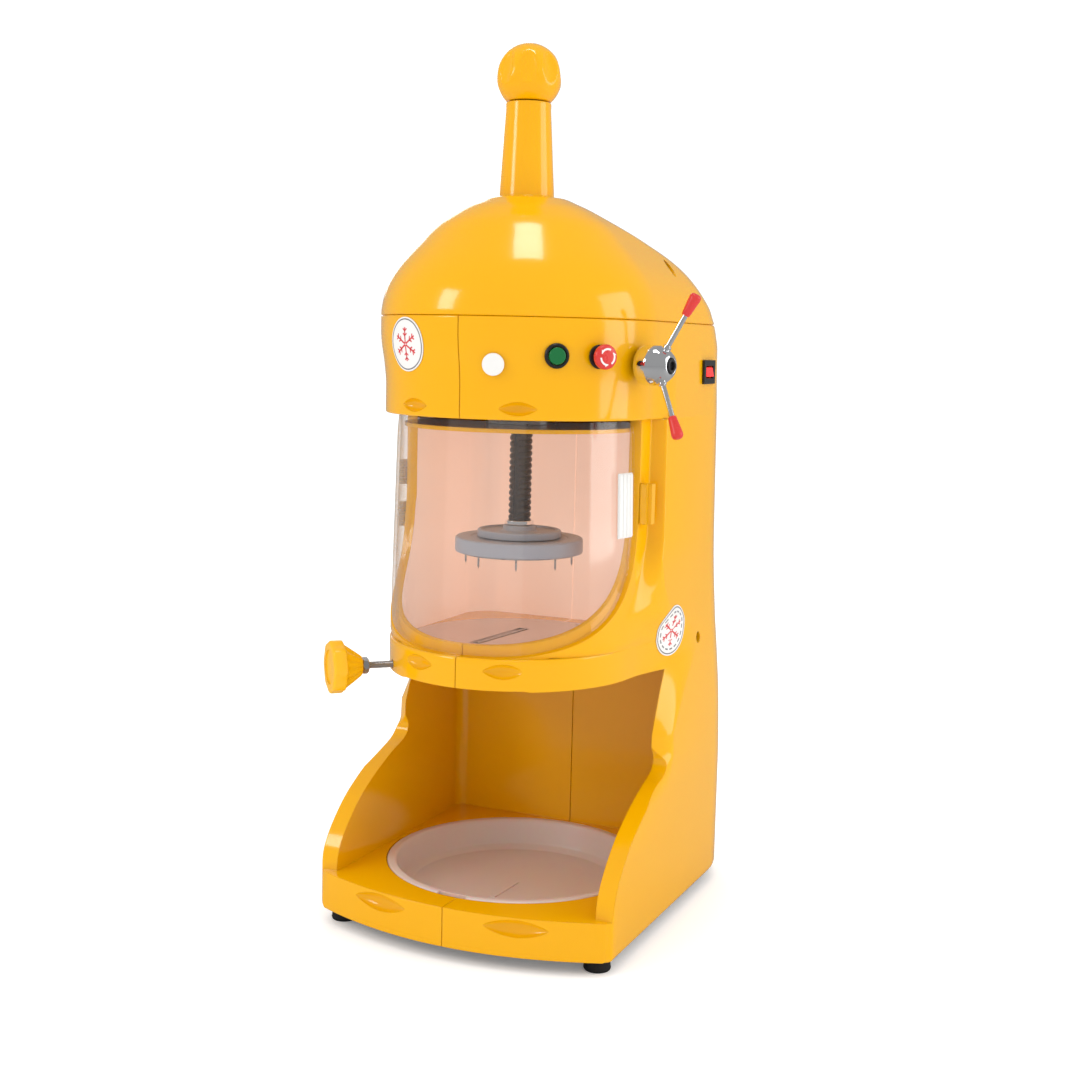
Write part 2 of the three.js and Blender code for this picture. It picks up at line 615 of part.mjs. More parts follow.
const motorShaft = disc(6, 481, 542, 14, MOTOR_X, MOTOR_Y);
const motorPulley = turned(
  [[6.3, 525], [22, 525], [22, 528], [18, 528], [18, 538], [22, 538], [22, 541], [6.3, 541], [6.3, 525]],
  20,
  MOTOR_X,
  MOTOR_Y,
);

// Plan loop that wraps the drive pulley and the motor pulley at the given radii.
function beltLoop(r1, r2) {
  const span = MOTOR_Y - SPINDLE_Y;
  const lean = Math.asin((r1 - r2) / span);
  const points = [];
  for (let k = 0; k <= 18; k += 1) {
    const t = Math.PI - lean + ((Math.PI + 2 * lean) * k) / 18;
    points.push([r1 * Math.cos(t), SPINDLE_Y + r1 * Math.sin(t)]);
  }
  for (let k = 0; k <= 8; k += 1) {
    const t = lean + ((Math.PI - 2 * lean) * k) / 8;
    points.push([r2 * Math.cos(t), MOTOR_Y + r2 * Math.sin(t)]);
  }
  return points;
}
const driveBelt = raised(beltLoop(78, 22), BELT_Z + 2.2, BELT_Z + 9.8, [beltLoop(74.5, 18.5).reverse()]);
const capacitor = disc(17, 300, 372, 20, 76, 132);

// ---- crank ----
const CRANK_MEET = 161;
const ARM_TILT = THREE.MathUtils.degToRad(27);
const ARM_LEAN = THREE.MathUtils.degToRad(10);
const crankAxis = plan(CRANK_PLAN);
const crankSide = new THREE.Vector3(0, 0, 1).cross(crankAxis);
const crankCentre = onSpindle(CRANK_Z).addScaledVector(crankAxis, CRANK_MEET);

function armDirection(sign) {
  const across = new THREE.Vector3(0, 0, Math.cos(ARM_LEAN)).addScaledVector(crankSide, Math.sin(ARM_LEAN));
  return across.multiplyScalar(sign * Math.cos(ARM_TILT)).addScaledVector(crankAxis, Math.sin(ARM_TILT));
}
const onArm = (profile, segments, sign) => aimed(turned(profile, segments), armDirection(sign), crankCentre);
const escutcheon = radial(sleeve(6, 11.5, 141.3, 143.7), 22, CRANK_PLAN, CRANK_Z);
const crankHub = radial(
  [[5.3, 144], [15.5, 144], [18.2, 146], [19.4, 150], [19.5, 160], [18.4, 165.5], [15.4, 171.5], [11.5, 176],
    [7.4, 177.8], [7.4, 173], [5.3, 173], [5.3, 144]],
  24, CRANK_PLAN, CRANK_Z,
).subtract(onArm(rod(3.1, 12.4, 40), 12, 1)).subtract(onArm(rod(3.1, 12.4, 40), 12, -1));
const crankCap = radial([[0, 173.4], [7, 173.4], [7, 178.2], [5.8, 179], [0, 179.3]], 20, CRANK_PLAN, CRANK_Z);
const arm = (sign) => onArm(rod(2.75, 12.8, 66), 12, sign);
const grip = (sign) => onArm(
  [[0, 66.4], [3.05, 66.4], [3.05, 53.6], [3.9, 53.6], [4.6, 60], [5.7, 71.5], [5.2, 74.2], [3.4, 75.6],
    [0, 76]],
  18, sign,
);

// ---- switches ----
const startBezel = radial(sleeve(8.6, 11.7, 141.3, 144), 22, START_PLAN, BUTTON_Z);
const startButton = radial([[0, 128], [8, 128], [8, 144.6], [7.2, 145.4], [0, 145.4]], 24, START_PLAN, BUTTON_Z);
const stopCollar = radial(sleeve(6.6, 11.4, 141.3, 143.6), 22, STOP_PLAN, BUTTON_Z);
const stopButton = radial(
  [[0, 128], [6, 128], [6, 148.6], [10.6, 148.6], [11.7, 150], [11.7, 153], [10.6, 155], [0, 156.4]],
  22, STOP_PLAN, BUTTON_Z,
);
const indicatorCap = radial(
  [[0, 132], [5.2, 132], [5.2, 140.6], [10.4, 140.6], [10.4, 142.2], [9.4, 143], [0, 143]], 22, CAP_PLAN, CAP_Z,
);
const rockerFrame = block(138, 143.9, 79.4, 108.6, 554.4, 572.6)
  .add(block(143.85, 146.2, 76.5, 111.5, 551, 576))
  .subtract(block(130, 150, 82, 106, 557, 570));
const rocker = sideways([[82.6, 558.5], [105.4, 558.5], [105.4, 568.5], [82.6, 568.5]], 139, 147.4)
  .subtract(aimed(block(-40, 40, -40, 40, 0, 30), new THREE.Vector3(1, 0, 0.28), new THREE.Vector3(146, 94, 563.5)));
const powerInlet = block(46.4, 73.6, 188, 214.2, 74.4, 97.6).subtract(block(50, 70, 198, 220, 78, 94));

// ---- badges: thin discs that follow the skin ----
function badge(point, direction, radius) {
  const levels = OUTER_LEVELS.filter((z) => Math.abs(z - point.z) < radius + 30);
  const band = (inset) => lofted(levels.map((z) => ({ z, points: outline(z, inset) })));
  const round = aimed(turned(rod(radius, -8, 8), 32), direction, point);
  return band(-1.3).subtract(band(-GAP)).intersect(round);
}
const frontBadge = badge(new THREE.Vector3(-63.2, -185.8, 585.5), plan(-26.6), 25.5);
const sideBadge = badge(new THREE.Vector3(149.5, 0, 301.5), plan(77), 26.5);

// ---- assembly ----
const group = new THREE.Group();
group.position.set(-BOX_CENTRE_X, -BOX_CENTRE_Y, 0);

function place(name, piece, material) {
  const mesh = new THREE.Mesh(geometryOf(piece), material);
  mesh.name = name;
  group.add(mesh);
}

place("shell_left", shellLeft, YELLOW);
place("shell_right", shellRight, YELLOW);
place("hood", hood, YELLOW);
place("screw_sleeve", screwSleeve, YELLOW);
place("ball_knob", ball, YELLOW);
place("base_plate", basePlate, STEEL);
FEET.forEach(([name, x, y]) => place(`foot_${name}`, turned(footProfile, 18, x, y), RUBBER));
place("drip_tray", tray, TRAY);
place("blade_plate", bladePlate, STEEL);
place("blade", blade, STEEL);
place("blade_clamp", bladeClamp, STEEL);
place("blade_screw_front", clampScrew(-32), BLACK_STEEL);
place("blade_screw_rear", clampScrew(32), BLACK_STEEL);
place("blade_carriage", bladeCarriage, STEEL);
place("adjust_knob", adjustKnob, YELLOW_KNOB);
place("adjust_nut", adjustNut, STEEL);
place("adjust_screw", adjustScrew, STEEL);
place("clear_cover", clearCover, CLEAR);
place("cover_grip", coverGrip, WHITE);
place("cover_hinge_upper", hinge(440, 466), STEEL);
place("cover_hinge_lower", hinge(396, 422), STEEL);
place("latch_block", latchBlock, YELLOW);
place("cover_switch", coverSwitch, BLACK);
place("lead_screw", leadScrew, BLACK_STEEL);
place("screw_collar", screwCollar, STEEL);
place("disc_hub", discHub, GREY);
place("press_disc", pressDisc, GREY);
place("spike_plate", spikePlate, STEEL);
place("ceiling_plate", ceilingPlate, YELLOW);
place("spindle_bearing", spindleBearing, STEEL);
place("drive_pulley", drivePulley, STEEL);
place("feed_gear", feedGear, BRASS);
place("bevel_pinion", bevelPinion, STEEL);
place("crank_shaft", crankShaft, STEEL);
place("crank_escutcheon", escutcheon, BLACK);
place("crank_hub", crankHub, CHROME);
place("crank_cap", crankCap, BLACK);
place("crank_arm_upper", arm(1), CHROME);
place("crank_arm_lower", arm(-1), CHROME);
place("crank_grip_upper", grip(1), RED);
place("crank_grip_lower", grip(-1), RED);
place("motor", motorBody, MOTOR_GREY);
place("motor_shaft", motorShaft, STEEL);
place("motor_pulley", motorPulley, STEEL);
place("drive_belt", driveBelt, RUBBER);
place("motor_bracket", motorBracket, STEEL);
place("start_bezel", startBezel, BLACK);
place("start_button", startButton, GREEN);
place("stop_collar", stopCollar, BLACK);
place("stop_button", stopButton, RED);
place("indicator_cap", indicatorCap, WHITE);
place("rocker_frame", rockerFrame, BLACK);
place("rocker", rocker, LIT_RED);
place("front_badge", frontBadge, WHITE);
place("side_badge", sideBadge, WHITE);
place("capacitor", capacitor, MOTOR_GREY);
place("power_inlet", powerInlet, BLACK);

export default group;
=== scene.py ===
"""Looks for the shaved ice machine.

Shapes are drawn in millimetres about the body's centre plane, X right, Y back, Z up, as the part is,
and go to metres in the shared frame when a mesh is made.
"""
from math import acos, atan2, cos, hypot, pi, radians, sin, sqrt

import bmesh
import bpy
from mathutils import Matrix, Vector
from mathutils.bvhtree import BVHTree


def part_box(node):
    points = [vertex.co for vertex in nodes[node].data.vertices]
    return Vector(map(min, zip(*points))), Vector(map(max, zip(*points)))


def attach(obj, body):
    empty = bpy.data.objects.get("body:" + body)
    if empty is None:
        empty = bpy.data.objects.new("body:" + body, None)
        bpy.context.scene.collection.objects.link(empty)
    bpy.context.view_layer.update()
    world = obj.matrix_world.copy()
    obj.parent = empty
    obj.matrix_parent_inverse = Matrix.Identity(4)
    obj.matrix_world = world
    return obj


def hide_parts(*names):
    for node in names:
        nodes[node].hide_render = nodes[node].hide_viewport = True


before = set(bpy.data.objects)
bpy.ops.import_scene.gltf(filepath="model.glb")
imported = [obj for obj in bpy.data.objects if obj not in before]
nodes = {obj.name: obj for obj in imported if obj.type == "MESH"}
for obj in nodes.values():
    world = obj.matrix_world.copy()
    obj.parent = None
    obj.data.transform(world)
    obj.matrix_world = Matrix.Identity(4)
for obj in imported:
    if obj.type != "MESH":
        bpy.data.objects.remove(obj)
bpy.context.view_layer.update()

MM = 0.001
SKIN_REACH = 4e-5  # metres a cut vertex may be off the skin whose shading it takes
SPINDLE_Y = -60.0
TURN = 2 * pi
scene = bpy.context.scene

disc_low, disc_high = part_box("press_disc")
ORIGIN = Vector(((disc_low.x + disc_high.x) / 2, (disc_low.y + disc_high.y) / 2 - SPINDLE_Y * MM, 0))


def span(node, axis):
    """Lowest and highest value of a CAD node along an axis, in the drawing's millimetres."""
    low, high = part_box(node)
    return (low - ORIGIN)[axis] / MM, (high - ORIGIN)[axis] / MM


# ---------------------------------------------------------------- materials
def srgb(r, g, b):
    """Linear colour from 0..255 display values."""
    return tuple((c / 255 / 12.92) if c <= 10 else ((c / 255 + 0.055) / 1.055) ** 2.4
                 for c in (r, g, b)) + (1,)


def add(tree, kind, **inputs):
    node = tree.nodes.new(kind)
    for name, value in inputs.items():
        setattr(node, name, value)
    return node


def finish_of(name, color, rough, vary=0.04, rough_vary=0.05, scale=60, grain=0.0, grain_scale=900,
              edge=0.0, stretch=(1, 1, 1), **fixed):
    """Procedural finish: colour and roughness drift over the surface, with fine grain and softened edges."""
    mat = bpy.data.materials.new(name)
    mat.use_nodes = True
    tree = mat.node_tree
    shader = tree.nodes["Principled BSDF"]
    link = tree.links.new
    coords = add(tree, "ShaderNodeTexCoord")
    mapping = add(tree, "ShaderNodeMapping")
    mapping.inputs["Scale"].default_value = stretch
    link(coords.outputs["Object"], mapping.inputs["Vector"])

    drift = add(tree, "ShaderNodeTexNoise")
    drift.inputs["Scale"].default_value = scale
    drift.inputs["Detail"].default_value = 3
    link(mapping.outputs["Vector"], drift.inputs["Vector"])
    tint = add(tree, "ShaderNodeMix", data_type="RGBA")
    tint.inputs["A"].default_value = tuple(c * (1 - vary) for c in color[:3]) + (1,)
    tint.inputs["B"].default_value = tuple(min(1, c * (1 + vary)) for c in color[:3]) + (1,)
    link(drift.outputs["Fac"], tint.inputs["Factor"])
    link(tint.outputs["Result"], shader.inputs["Base Color"])

    spread = add(tree, "ShaderNodeMapRange")
    spread.inputs["To Min"].default_value = max(0.01, rough - rough_vary)
    spread.inputs["To Max"].default_value = rough + rough_vary
    link(drift.outputs["Fac"], spread.inputs["Value"])
    link(spread.outputs["Result"], shader.inputs["Roughness"])

    normal = None
    if edge > 0:
        soften = add(tree, "ShaderNodeBevel", samples=6)
        soften.inputs["Radius"].default_value = edge * MM
        normal = soften.outputs["Normal"]
    if grain > 0:
        fine = add(tree, "ShaderNodeTexNoise")
        fine.inputs["Scale"].default_value = grain_scale
        fine.inputs["Detail"].default_value = 2
        link(mapping.outputs["Vector"], fine.inputs["Vector"])
        bump = add(tree, "ShaderNodeBump")
        bump.inputs["Strength"].default_value = grain
        bump.inputs["Distance"].default_value = 0.0004
        link(fine.outputs["Fac"], bump.inputs["Height"])
        if normal is not None:
            link(normal, bump.inputs["Normal"])
        normal = bump.outputs["Normal"]
    if normal is not None:
        link(normal, shader.inputs["Normal"])
    for socket, value in fixed.items():
        shader.inputs[socket.replace("_", " ")].default_value = value
    return mat


def turned_steel(name, color, rough, centre, rings=2600):
    """Steel with the fine rings that a lathe leaves about a vertical axis."""
    mat = finish_of(name, color, rough, Metallic=1.0)
    tree = mat.node_tree
    link = tree.links.new
    coords = add(tree, "ShaderNodeTexCoord")
    shift = add(tree, "ShaderNodeMapping")
    shift.inputs["Location"].default_value = (-centre[0], -centre[1], 0)
    link(coords.outputs["Object"], shift.inputs["Vector"])
    wave = add(tree, "ShaderNodeTexWave", wave_type="RINGS", rings_direction="Z")
    wave.inputs["Scale"].default_value = rings / TURN
    wave.inputs["Distortion"].default_value = 1.5
    link(shift.outputs["Vector"], wave.inputs["Vector"])
    bump = add(tree, "ShaderNodeBump")
    bump.inputs["Strength"].default_value = 0.12
    bump.inputs["Distance"].default_value = 0.0002
    link(wave.outputs["Fac"], bump.inputs["Height"])
    link(bump.outputs["Normal"], tree.nodes["Principled BSDF"].inputs["Normal"])
    return mat


def clear_plastic():
    """Clear acrylic: gloss that grows towards the edges over a see-through, very slightly milky sheet."""
    mat = bpy.data.materials.new("clear_acrylic")
    mat.use_nodes = True
    tree = mat.node_tree
    link = tree.links.new
    shader = tree.nodes["Principled BSDF"]
    shader.inputs["Base Color"].default_value = (1, 1, 1, 1)
    shader.inputs["Metallic"].default_value = 1.0
    coords = add(tree, "ShaderNodeTexCoord")
    drift = add(tree, "ShaderNodeTexNoise")
    drift.inputs["Scale"].default_value = 9
    link(coords.outputs["Object"], drift.inputs["Vector"])
    spread = add(tree, "ShaderNodeMapRange")
    spread.inputs["To Min"].default_value = 0.03
    spread.inputs["To Max"].default_value = 0.07
    link(drift.outputs["Fac"], spread.inputs["Value"])
    link(spread.outputs["Result"], shader.inputs["Roughness"])
    see = add(tree, "ShaderNodeBsdfTransparent")
    see.inputs["Color"].default_value = CLEAR_TINT
    milk = add(tree, "ShaderNodeBsdfTranslucent")
    milk.inputs["Color"].default_value = (1, 0.93, 0.9, 1)
    haze = add(tree, "ShaderNodeMapRange")
    haze.inputs["To Min"].default_value = 0.015
    haze.inputs["To Max"].default_value = 0.03
    link(drift.outputs["Fac"], haze.inputs["Value"])
    body = add(tree, "ShaderNodeMixShader")
    link(haze.outputs["Result"], body.inputs["Fac"])
    link(see.outputs["BSDF"], body.inputs[1])
    link(milk.outputs["BSDF"], body.inputs[2])
    facing = add(tree, "ShaderNodeLayerWeight")
    power = add(tree, "ShaderNodeMath", operation="POWER")
    power.inputs[1].default_value = 4.0
    link(facing.outputs["Facing"], power.inputs[0])
    gloss = add(tree, "ShaderNodeMapRange")
    gloss.inputs["To Min"].default_value = 0.035
    gloss.inputs["To Max"].default_value = 0.85
    link(power.outputs["Value"], gloss.inputs["Value"])
    mix = add(tree, "ShaderNodeMixShader")
    link(gloss.outputs["Result"], mix.inputs["Fac"])
    link(body.outputs["Shader"], mix.inputs[1])
    link(shader.outputs["BSDF"], mix.inputs[2])
    link(mix.outputs["Shader"], tree.nodes["Material Output"].inputs["Surface"])
    return mat


YELLOW = srgb(231, 167, 0)
CLEAR_TINT = (0.985, 0.98, 0.978, 1)
axis_point = ORIGIN + Vector((0, SPINDLE_Y * MM, 0))

MATERIALS = {
    "body_yellow": finish_of("body_yellow", YELLOW, 0.16, vary=0.015, rough_vary=0.03, scale=14, grain=0.05,
                             grain_scale=420, edge=1.6, Coat_Weight=0.35, Coat_Roughness=0.05, IOR=1.45,
                             Subsurface_Weight=0.06, Subsurface_Scale=0.004),
    "knob_yellow": finish_of("knob_yellow", srgb(240, 178, 6), 0.3, vary=0.03, grain=0.1, edge=0.8),
    "black_plastic": finish_of("black_plastic", srgb(26, 26, 28), 0.38, grain=0.2, edge=0.4),
    "black_rubber": finish_of("black_rubber", srgb(22, 22, 23), 0.75, grain=0.5, grain_scale=500),
    "blackened_steel": finish_of("blackened_steel", srgb(24, 22, 22), 0.3, vary=0.3, scale=240, grain=0.15,
                                 Metallic=0.4),
    "steel": finish_of("steel", srgb(190, 190, 192), 0.28, vary=0.05, scale=30, grain=0.1, edge=0.3,
                       stretch=(1, 1, 12), Metallic=1.0),
    "plate_steel": turned_steel("plate_steel", srgb(214, 204, 200), 0.3, axis_point),
    "chrome": finish_of("chrome", srgb(236, 237, 239), 0.05, vary=0.02, rough_vary=0.02, scale=40,
                        Metallic=1.0),
    "bronze": finish_of("bronze", srgb(186, 150, 92), 0.35, vary=0.1, scale=80, edge=0.4, Metallic=1.0),
    "grey_plastic": finish_of("grey_plastic", srgb(150, 152, 160), 0.42, vary=0.03, scale=40, grain=0.15,
                              edge=0.6),
    "red_plastic": finish_of("red_plastic", srgb(205, 52, 48), 0.28, vary=0.05, scale=90, grain=0.08,
                             edge=0.4, Subsurface_Weight=0.05, Subsurface_Scale=0.002),
    "green_plastic": finish_of("green_plastic", srgb(12, 104, 52), 0.26, vary=0.06, scale=120, grain=0.08),
    "white_plastic": finish_of("white_plastic", srgb(226, 225, 222), 0.3, vary=0.015, scale=60, grain=0.06,
                               edge=0.3),
    "lit_red": finish_of("lit_red", srgb(222, 24, 30), 0.2, vary=0.1, scale=60, edge=0.5,
                         Emission_Color=(1, 0.05, 0.04, 1), Emission_Strength=0.55),
    "motor_grey": finish_of("motor_grey", srgb(96, 103, 110), 0.45, vary=0.08, scale=50, grain=0.3,
                            edge=0.5),
    "print_red": finish_of("print_red", srgb(206, 62, 66), 0.4, vary=0.03),
    "print_grey": finish_of("print_grey", srgb(112, 108, 112), 0.4, vary=0.03),
    "frosted_tray": finish_of("frosted_tray", srgb(226, 208, 202), 0.22, vary=0.02, rough_vary=0.04, scale=20,
                              grain=0.08, grain_scale=300, IOR=1.49, Transmission_Weight=0.12,
                              Subsurface_Weight=0.35, Subsurface_Scale=0.006),
    # Chamber walls: a painted glow (emission with no lamp behind it) brightens them, and their pale peach
    # colour paints the pale veil of light seen through the cover.
    "chamber_wall_painted_glow": finish_of("chamber_wall_painted_glow", srgb(250, 222, 204), 0.2, vary=0.09, rough_vary=0.05, scale=5,
                              grain=0.05, grain_scale=420, Coat_Weight=0.5, Coat_Roughness=0.08,
                              Emission_Color=(1, 0.74, 0.62, 1), Emission_Strength=0.3),
}
MATERIALS["clear_acrylic"] = clear_plastic()


# ---------------------------------------------------------------- drawing tools
def ease(t):
    u = min(1.0, max(0.0, t))
    return u * u * (3 - 2 * u)


def curve_at(table, x):
    """Smooth curve through (x, y) pairs that never overshoots them."""
    if x <= table[0][0]:
        return table[0][1]
    if x >= table[-1][0]:
        return table[-1][1]
    k = 0
    while table[k + 1][0] < x:
        k += 1

    def slope(i):
        return (table[i + 1][1] - table[i][1]) / (table[i + 1][0] - table[i][0])

    def tangent(i):
        if i == 0 or i == len(table) - 1:
            return slope(min(i, len(table) - 2))
        before, after = slope(i - 1), slope(i)
        return 0 if before * after <= 0 else 2 * before * after / (before + after)

    x0, y0 = table[k]
    x1, y1 = table[k + 1]
    h = x1 - x0
    t = (x - x0) / h
    return (y0 * (1 + 2 * t) * (1 - t) ** 2 + tangent(k) * h * t * (1 - t) ** 2
            + y1 * t * t * (3 - 2 * t) + tangent(k + 1) * h * t * t * (t - 1))


def spline(points, steps):
    """Catmull-Rom curve through points, with that many steps from each point to the next."""
    out = []
    last = len(points) - 1
    for k in range(last):
        p0, p1, p2, p3 = (Vector(points[min(last, max(0, k + d))]) for d in (-1, 0, 1, 2))
        for s in range(steps):
            t = s / steps
            out.append((p1 * 2 + (p2 - p0) * t + (p0 * 2 - p1 * 5 + p2 * 4 - p3) * t * t
                        + (p1 * 3 - p0 - p2 * 3 + p3) * t ** 3) / 2)
    return out + [Vector(points[-1])]


def rounded(profile, radius, steps=4):
    """Profile of (r, z) pairs with its inner corners rounded."""
    out = [Vector(profile[0])]
    for before, here, after in zip(profile, profile[1:], profile[2:]):
        a, p, b = Vector(before), Vector(here), Vector(after)
        u, v = (a - p), (b - p)
        reach = min(radius, u.length * 0.45, v.length * 0.45)
        start, end = p + u.normalized() * reach, p + v.normalized() * reach
        for s in range(steps + 1):
            t = s / steps
            out.append(start * (1 - t) ** 2 + p * 2 * t * (1 - t) + end * t * t)
    return [tuple(q) for q in out] + [tuple(profile[-1])]


def loft(loops, capped=True, closed=False):
    """(points, faces) of a skin through loops of equal length."""
    n = len(loops[0])
    points = [tuple(p) for loop in loops for p in loop]
    faces = []
    rows = len(loops) if closed else len(loops) - 1
    for k in range(rows):
        a, b = k * n, (k + 1) % len(loops) * n
        faces += [(a + i, a + (i + 1) % n, b + (i + 1) % n, b + i) for i in range(n)]
    if capped and not closed:
        faces.append(tuple(reversed(range(n))))
        faces.append(tuple(range(len(points) - n, len(points))))
    return points, faces


def lathe(profile, segments=64, x=0.0, y=0.0):
    """Turned piece about a vertical axis. A profile starts and ends on the axis or closes on itself."""
    ring = [(cos(TURN * i / segments), sin(TURN * i / segments)) for i in range(segments)]
    whole = Vector(profile[0]) == Vector(profile[-1])
    rows = profile[:-1] if whole else [p for p in profile if p[0] > 1e-6]
    loops = [[(x + r * c, y + r * s, z) for c, s in ring] for r, z in rows]
    return loft(loops, capped=not whole, closed=whole)


def prism(outline, z0, z1):
    return loft([[(x, y, z0) for x, y in outline], [(x, y, z1) for x, y in outline]])


def side_prism(outline, x0, x1):
    """Side view of (y, z) pairs swept along X."""
    return loft([[(x0, y, z) for y, z in outline], [(x1, y, z) for y, z in outline]])


def block(x0, x1, y0, y1, z0, z1):
    return prism([(x0, y0), (x1, y0), (x1, y1), (x0, y1)], z0, z1)


def moved(solid, matrix):
    return [tuple(matrix @ Vector(p)) for p in solid[0]], solid[1]


def aimed(solid, direction, point):
    """Local +Z turned to a direction, and the local origin moved to a point."""
    turn = Vector((0, 0, 1)).rotation_difference(Vector(direction)).to_matrix().to_4x4()
    return moved(solid, Matrix.Translation(Vector(point)) @ turn)


def plan(degrees):
    """Direction in plan, measured from the front towards +X."""
    a = radians(degrees)
    return Vector((sin(a), -cos(a), 0))


def radial(solid, degrees, z):
    """Piece drawn along +Z from the spindle, laid out along a plan direction at a height."""
    return aimed(solid, plan(degrees), (0, SPINDLE_Y, z))


def joined(*solids):
    points, faces = [], []
    for p, f in solids:
        shift = len(points)
        points += list(p)
        faces += [tuple(i + shift for i in face) for face in f]
    return points, faces


def raw_object(name, solid):
    mesh = bpy.data.meshes.new(name)
    mesh.from_pydata([ORIGIN + Vector(p) * MM for p in solid[0]], [], solid[1])
    build = bmesh.new()
    build.from_mesh(mesh)
    bmesh.ops.remove_doubles(build, verts=build.verts, dist=1e-7)
    bmesh.ops.recalc_face_normals(build, faces=build.faces)
    build.to_mesh(mesh)
    build.free()
    obj = bpy.data.objects.new(name, mesh)
    scene.collection.objects.link(obj)
    return obj


def carve(obj, solids, operation="DIFFERENCE"):
    """Cuts, joins or crosses obj with each solid in turn."""
    tools = [raw_object("tool", s) for s in solids]
    for tool in tools:
        change = obj.modifiers.new("carve", "BOOLEAN")
        change.solver = "MANIFOLD"
        change.operation = operation
        change.object = tool
    graph = bpy.context.evaluated_depsgraph_get()
    mesh = bpy.data.meshes.new_from_object(obj.evaluated_get(graph))
    obj.modifiers.clear()
    obj.data = mesh
    for tool in tools:
        bpy.data.objects.remove(tool)
    return obj


def shade(obj, angle):
    obj.data.shade_smooth()
    obj.data.set_sharp_from_angle(angle=radians(angle))


def follow(obj, guide, angle=20):
    """Gives obj the shading of the whole skin that it was cut from, where it still lies on that skin."""
    source = guide.data
    tree = BVHTree.FromPolygons([v.co for v in source.vertices], [p.vertices for p in source.polygons])
    mesh = obj.data
    result = [n.vector.copy() for n in mesh.corner_normals]
    limit = cos(radians(angle))
    for face in mesh.polygons:
        for loop in face.loop_indices:
            at = mesh.vertices[mesh.loops[loop].vertex_index].co
            where, _, index, distance = tree.find_nearest(at)
            if distance > SKIN_REACH:
                continue
            corners = source.polygons[index].vertices
            weights = [1 / ((source.vertices[c].co - where).length + 1e-7) ** 2 for c in corners]
            blend = sum((source.vertices[c].normal * w for c, w in zip(corners, weights)), Vector())
            blend.normalize()
            if blend.dot(face.normal) > limit:
                result[loop] = blend
    mesh.normals_split_custom_set(result)


def piece(name, solid, body, material, replaces=(), angle=35, cuts=(), guide=None):
    """One finished piece: made, cut, shaded, given its finish and put on its body."""
    obj = raw_object(name, solid)
    if cuts:
        carve(obj, cuts)
    shade(obj, angle)
    if guide:
        follow(obj, guide)
    obj.data.materials.clear()
    obj.data.materials.append(MATERIALS[material])
    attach(obj, body)
    if replaces:
        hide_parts(*replaces)
    return obj


# ---------------------------------------------------------------- body outline
HALF_DEPTH = 215.0
SKIN = 4.0
ARC_SAG = 36.0
REAR_RADIUS = 100.0
DECK_Z = 53.0
SEAM_HALF = 0.35
HALF_WIDTH = [(14, 157.2), (14.8, 158.6), (16.5, 159.5), (20, 160), (130, 160), (200, 158), (263, 154),
              (300, 151), (370, 147), (420, 146), (518, 144.6), (560, 143.2), (611, 142), (612.4, 141.6),
              (613, 140.6)]
REAR = [(14, 212), (16.5, 214.2), (20, 215), (200, 215), (300, 212), (587, 211), (600, 206), (612.4, 199),
        (613, 198)]
FRONT_X = [(200, 127), (293, 128), (300, 130), (517.9, 130), (518, 134.9), (518.4, 135.7), (519.2, 136.3),
           (521, 136.5), (545, 136.5), (565, 138), (590, 141.5), (600, 142), (611.5, 142), (612.5, 141.6),
           (613, 140.6)]
FRONT_Y = [(200, 136), (289, 136), (291, 135.7), (292.4, 135), (292.9, 134), (293, 132.5), (293.1, 128)] \
    + FRONT_X[3:]
SHOULDER_Y = [(200, -60), (240, -66), (280, -80), (300, -86), (320, -88), (344, -72), (360, -58), (380, -46),
              (400, -38), (517.9, -36), (518, -60), (613, -60)]
SHOULDER_S = [(200, 45), (240, 90), (280, 140), (300, 136), (320, 90), (344, 50), (360, 28), (380, 12),
              (400, 7), (517.9, 7), (518, 60), (613, 60)]
BASE_MIX = [(140, 1), (178, 0)]
BASE_CORNER = [(0, 0), (1, 5.4), (2, 42.9), (7, 150)]


def straight(table, x):
    """Straight lines through (x, y) pairs."""
    for (x0, y0), (x1, y1) in zip(table, table[1:]):
        if x <= x1:
            return y0 + (y1 - y0) * min(1, max(0, (x - x0) / (x1 - x0)))
    return table[-1][1]


def outline(z, inset=0.0, front_steps=32, shoulder_steps=28, rear_steps=18):
    """Plan of the body at one height, moved in by the inset."""
    w = curve_at(HALF_WIDTH, z) - inset
    a = curve_at(FRONT_X, z) - inset
    b = curve_at(FRONT_Y, z) - inset
    rear = curve_at(REAR, z) - inset
    s0 = curve_at(SHOULDER_Y, z) + (1 if inset > 0 else 0)
    s = curve_at(SHOULDER_S, z)
    mix = straight(BASE_MIX, z)
    corner = REAR_RADIUS - inset
    front = -HALF_DEPTH + inset

    def reach(y):
        return a * sqrt(max(0, 1 - ((y - SPINDLE_Y) / b) ** 2)) if y < SPINDLE_Y else a

    end = acos((SPINDLE_Y - s0) / b) if s0 < SPINDLE_Y else pi / 2
    half = []
    for i in range(front_steps):
        t = end * i / front_steps
        x = w * i / front_steps
        y = front + ARC_SAG * (x / w) ** 2
        ux, uy = a * sin(t), SPINDLE_Y - b * cos(t)
        half.append((ux + (x - ux) * mix, uy + (y - uy) * mix))
    for j in range(shoulder_steps + 1):
        u = j / shoulder_steps
        y = s0 + s * u
        ux = reach(y) + (w - a) * ease(u)
        nip = 4 * max(0, 1 - 7 * u) ** 2
        by = front + ARC_SAG + straight(BASE_CORNER, 7 * u)
        half.append((ux + (w - nip - ux) * mix, y + (by - y) * mix))
    for k in range(rear_steps + 1):
        t = pi / 2 * k / rear_steps
        half.append((w - corner + corner * cos(t), rear - corner + corner * sin(t)))
    return half + [(-x, y) for x, y in reversed(half[1:])]


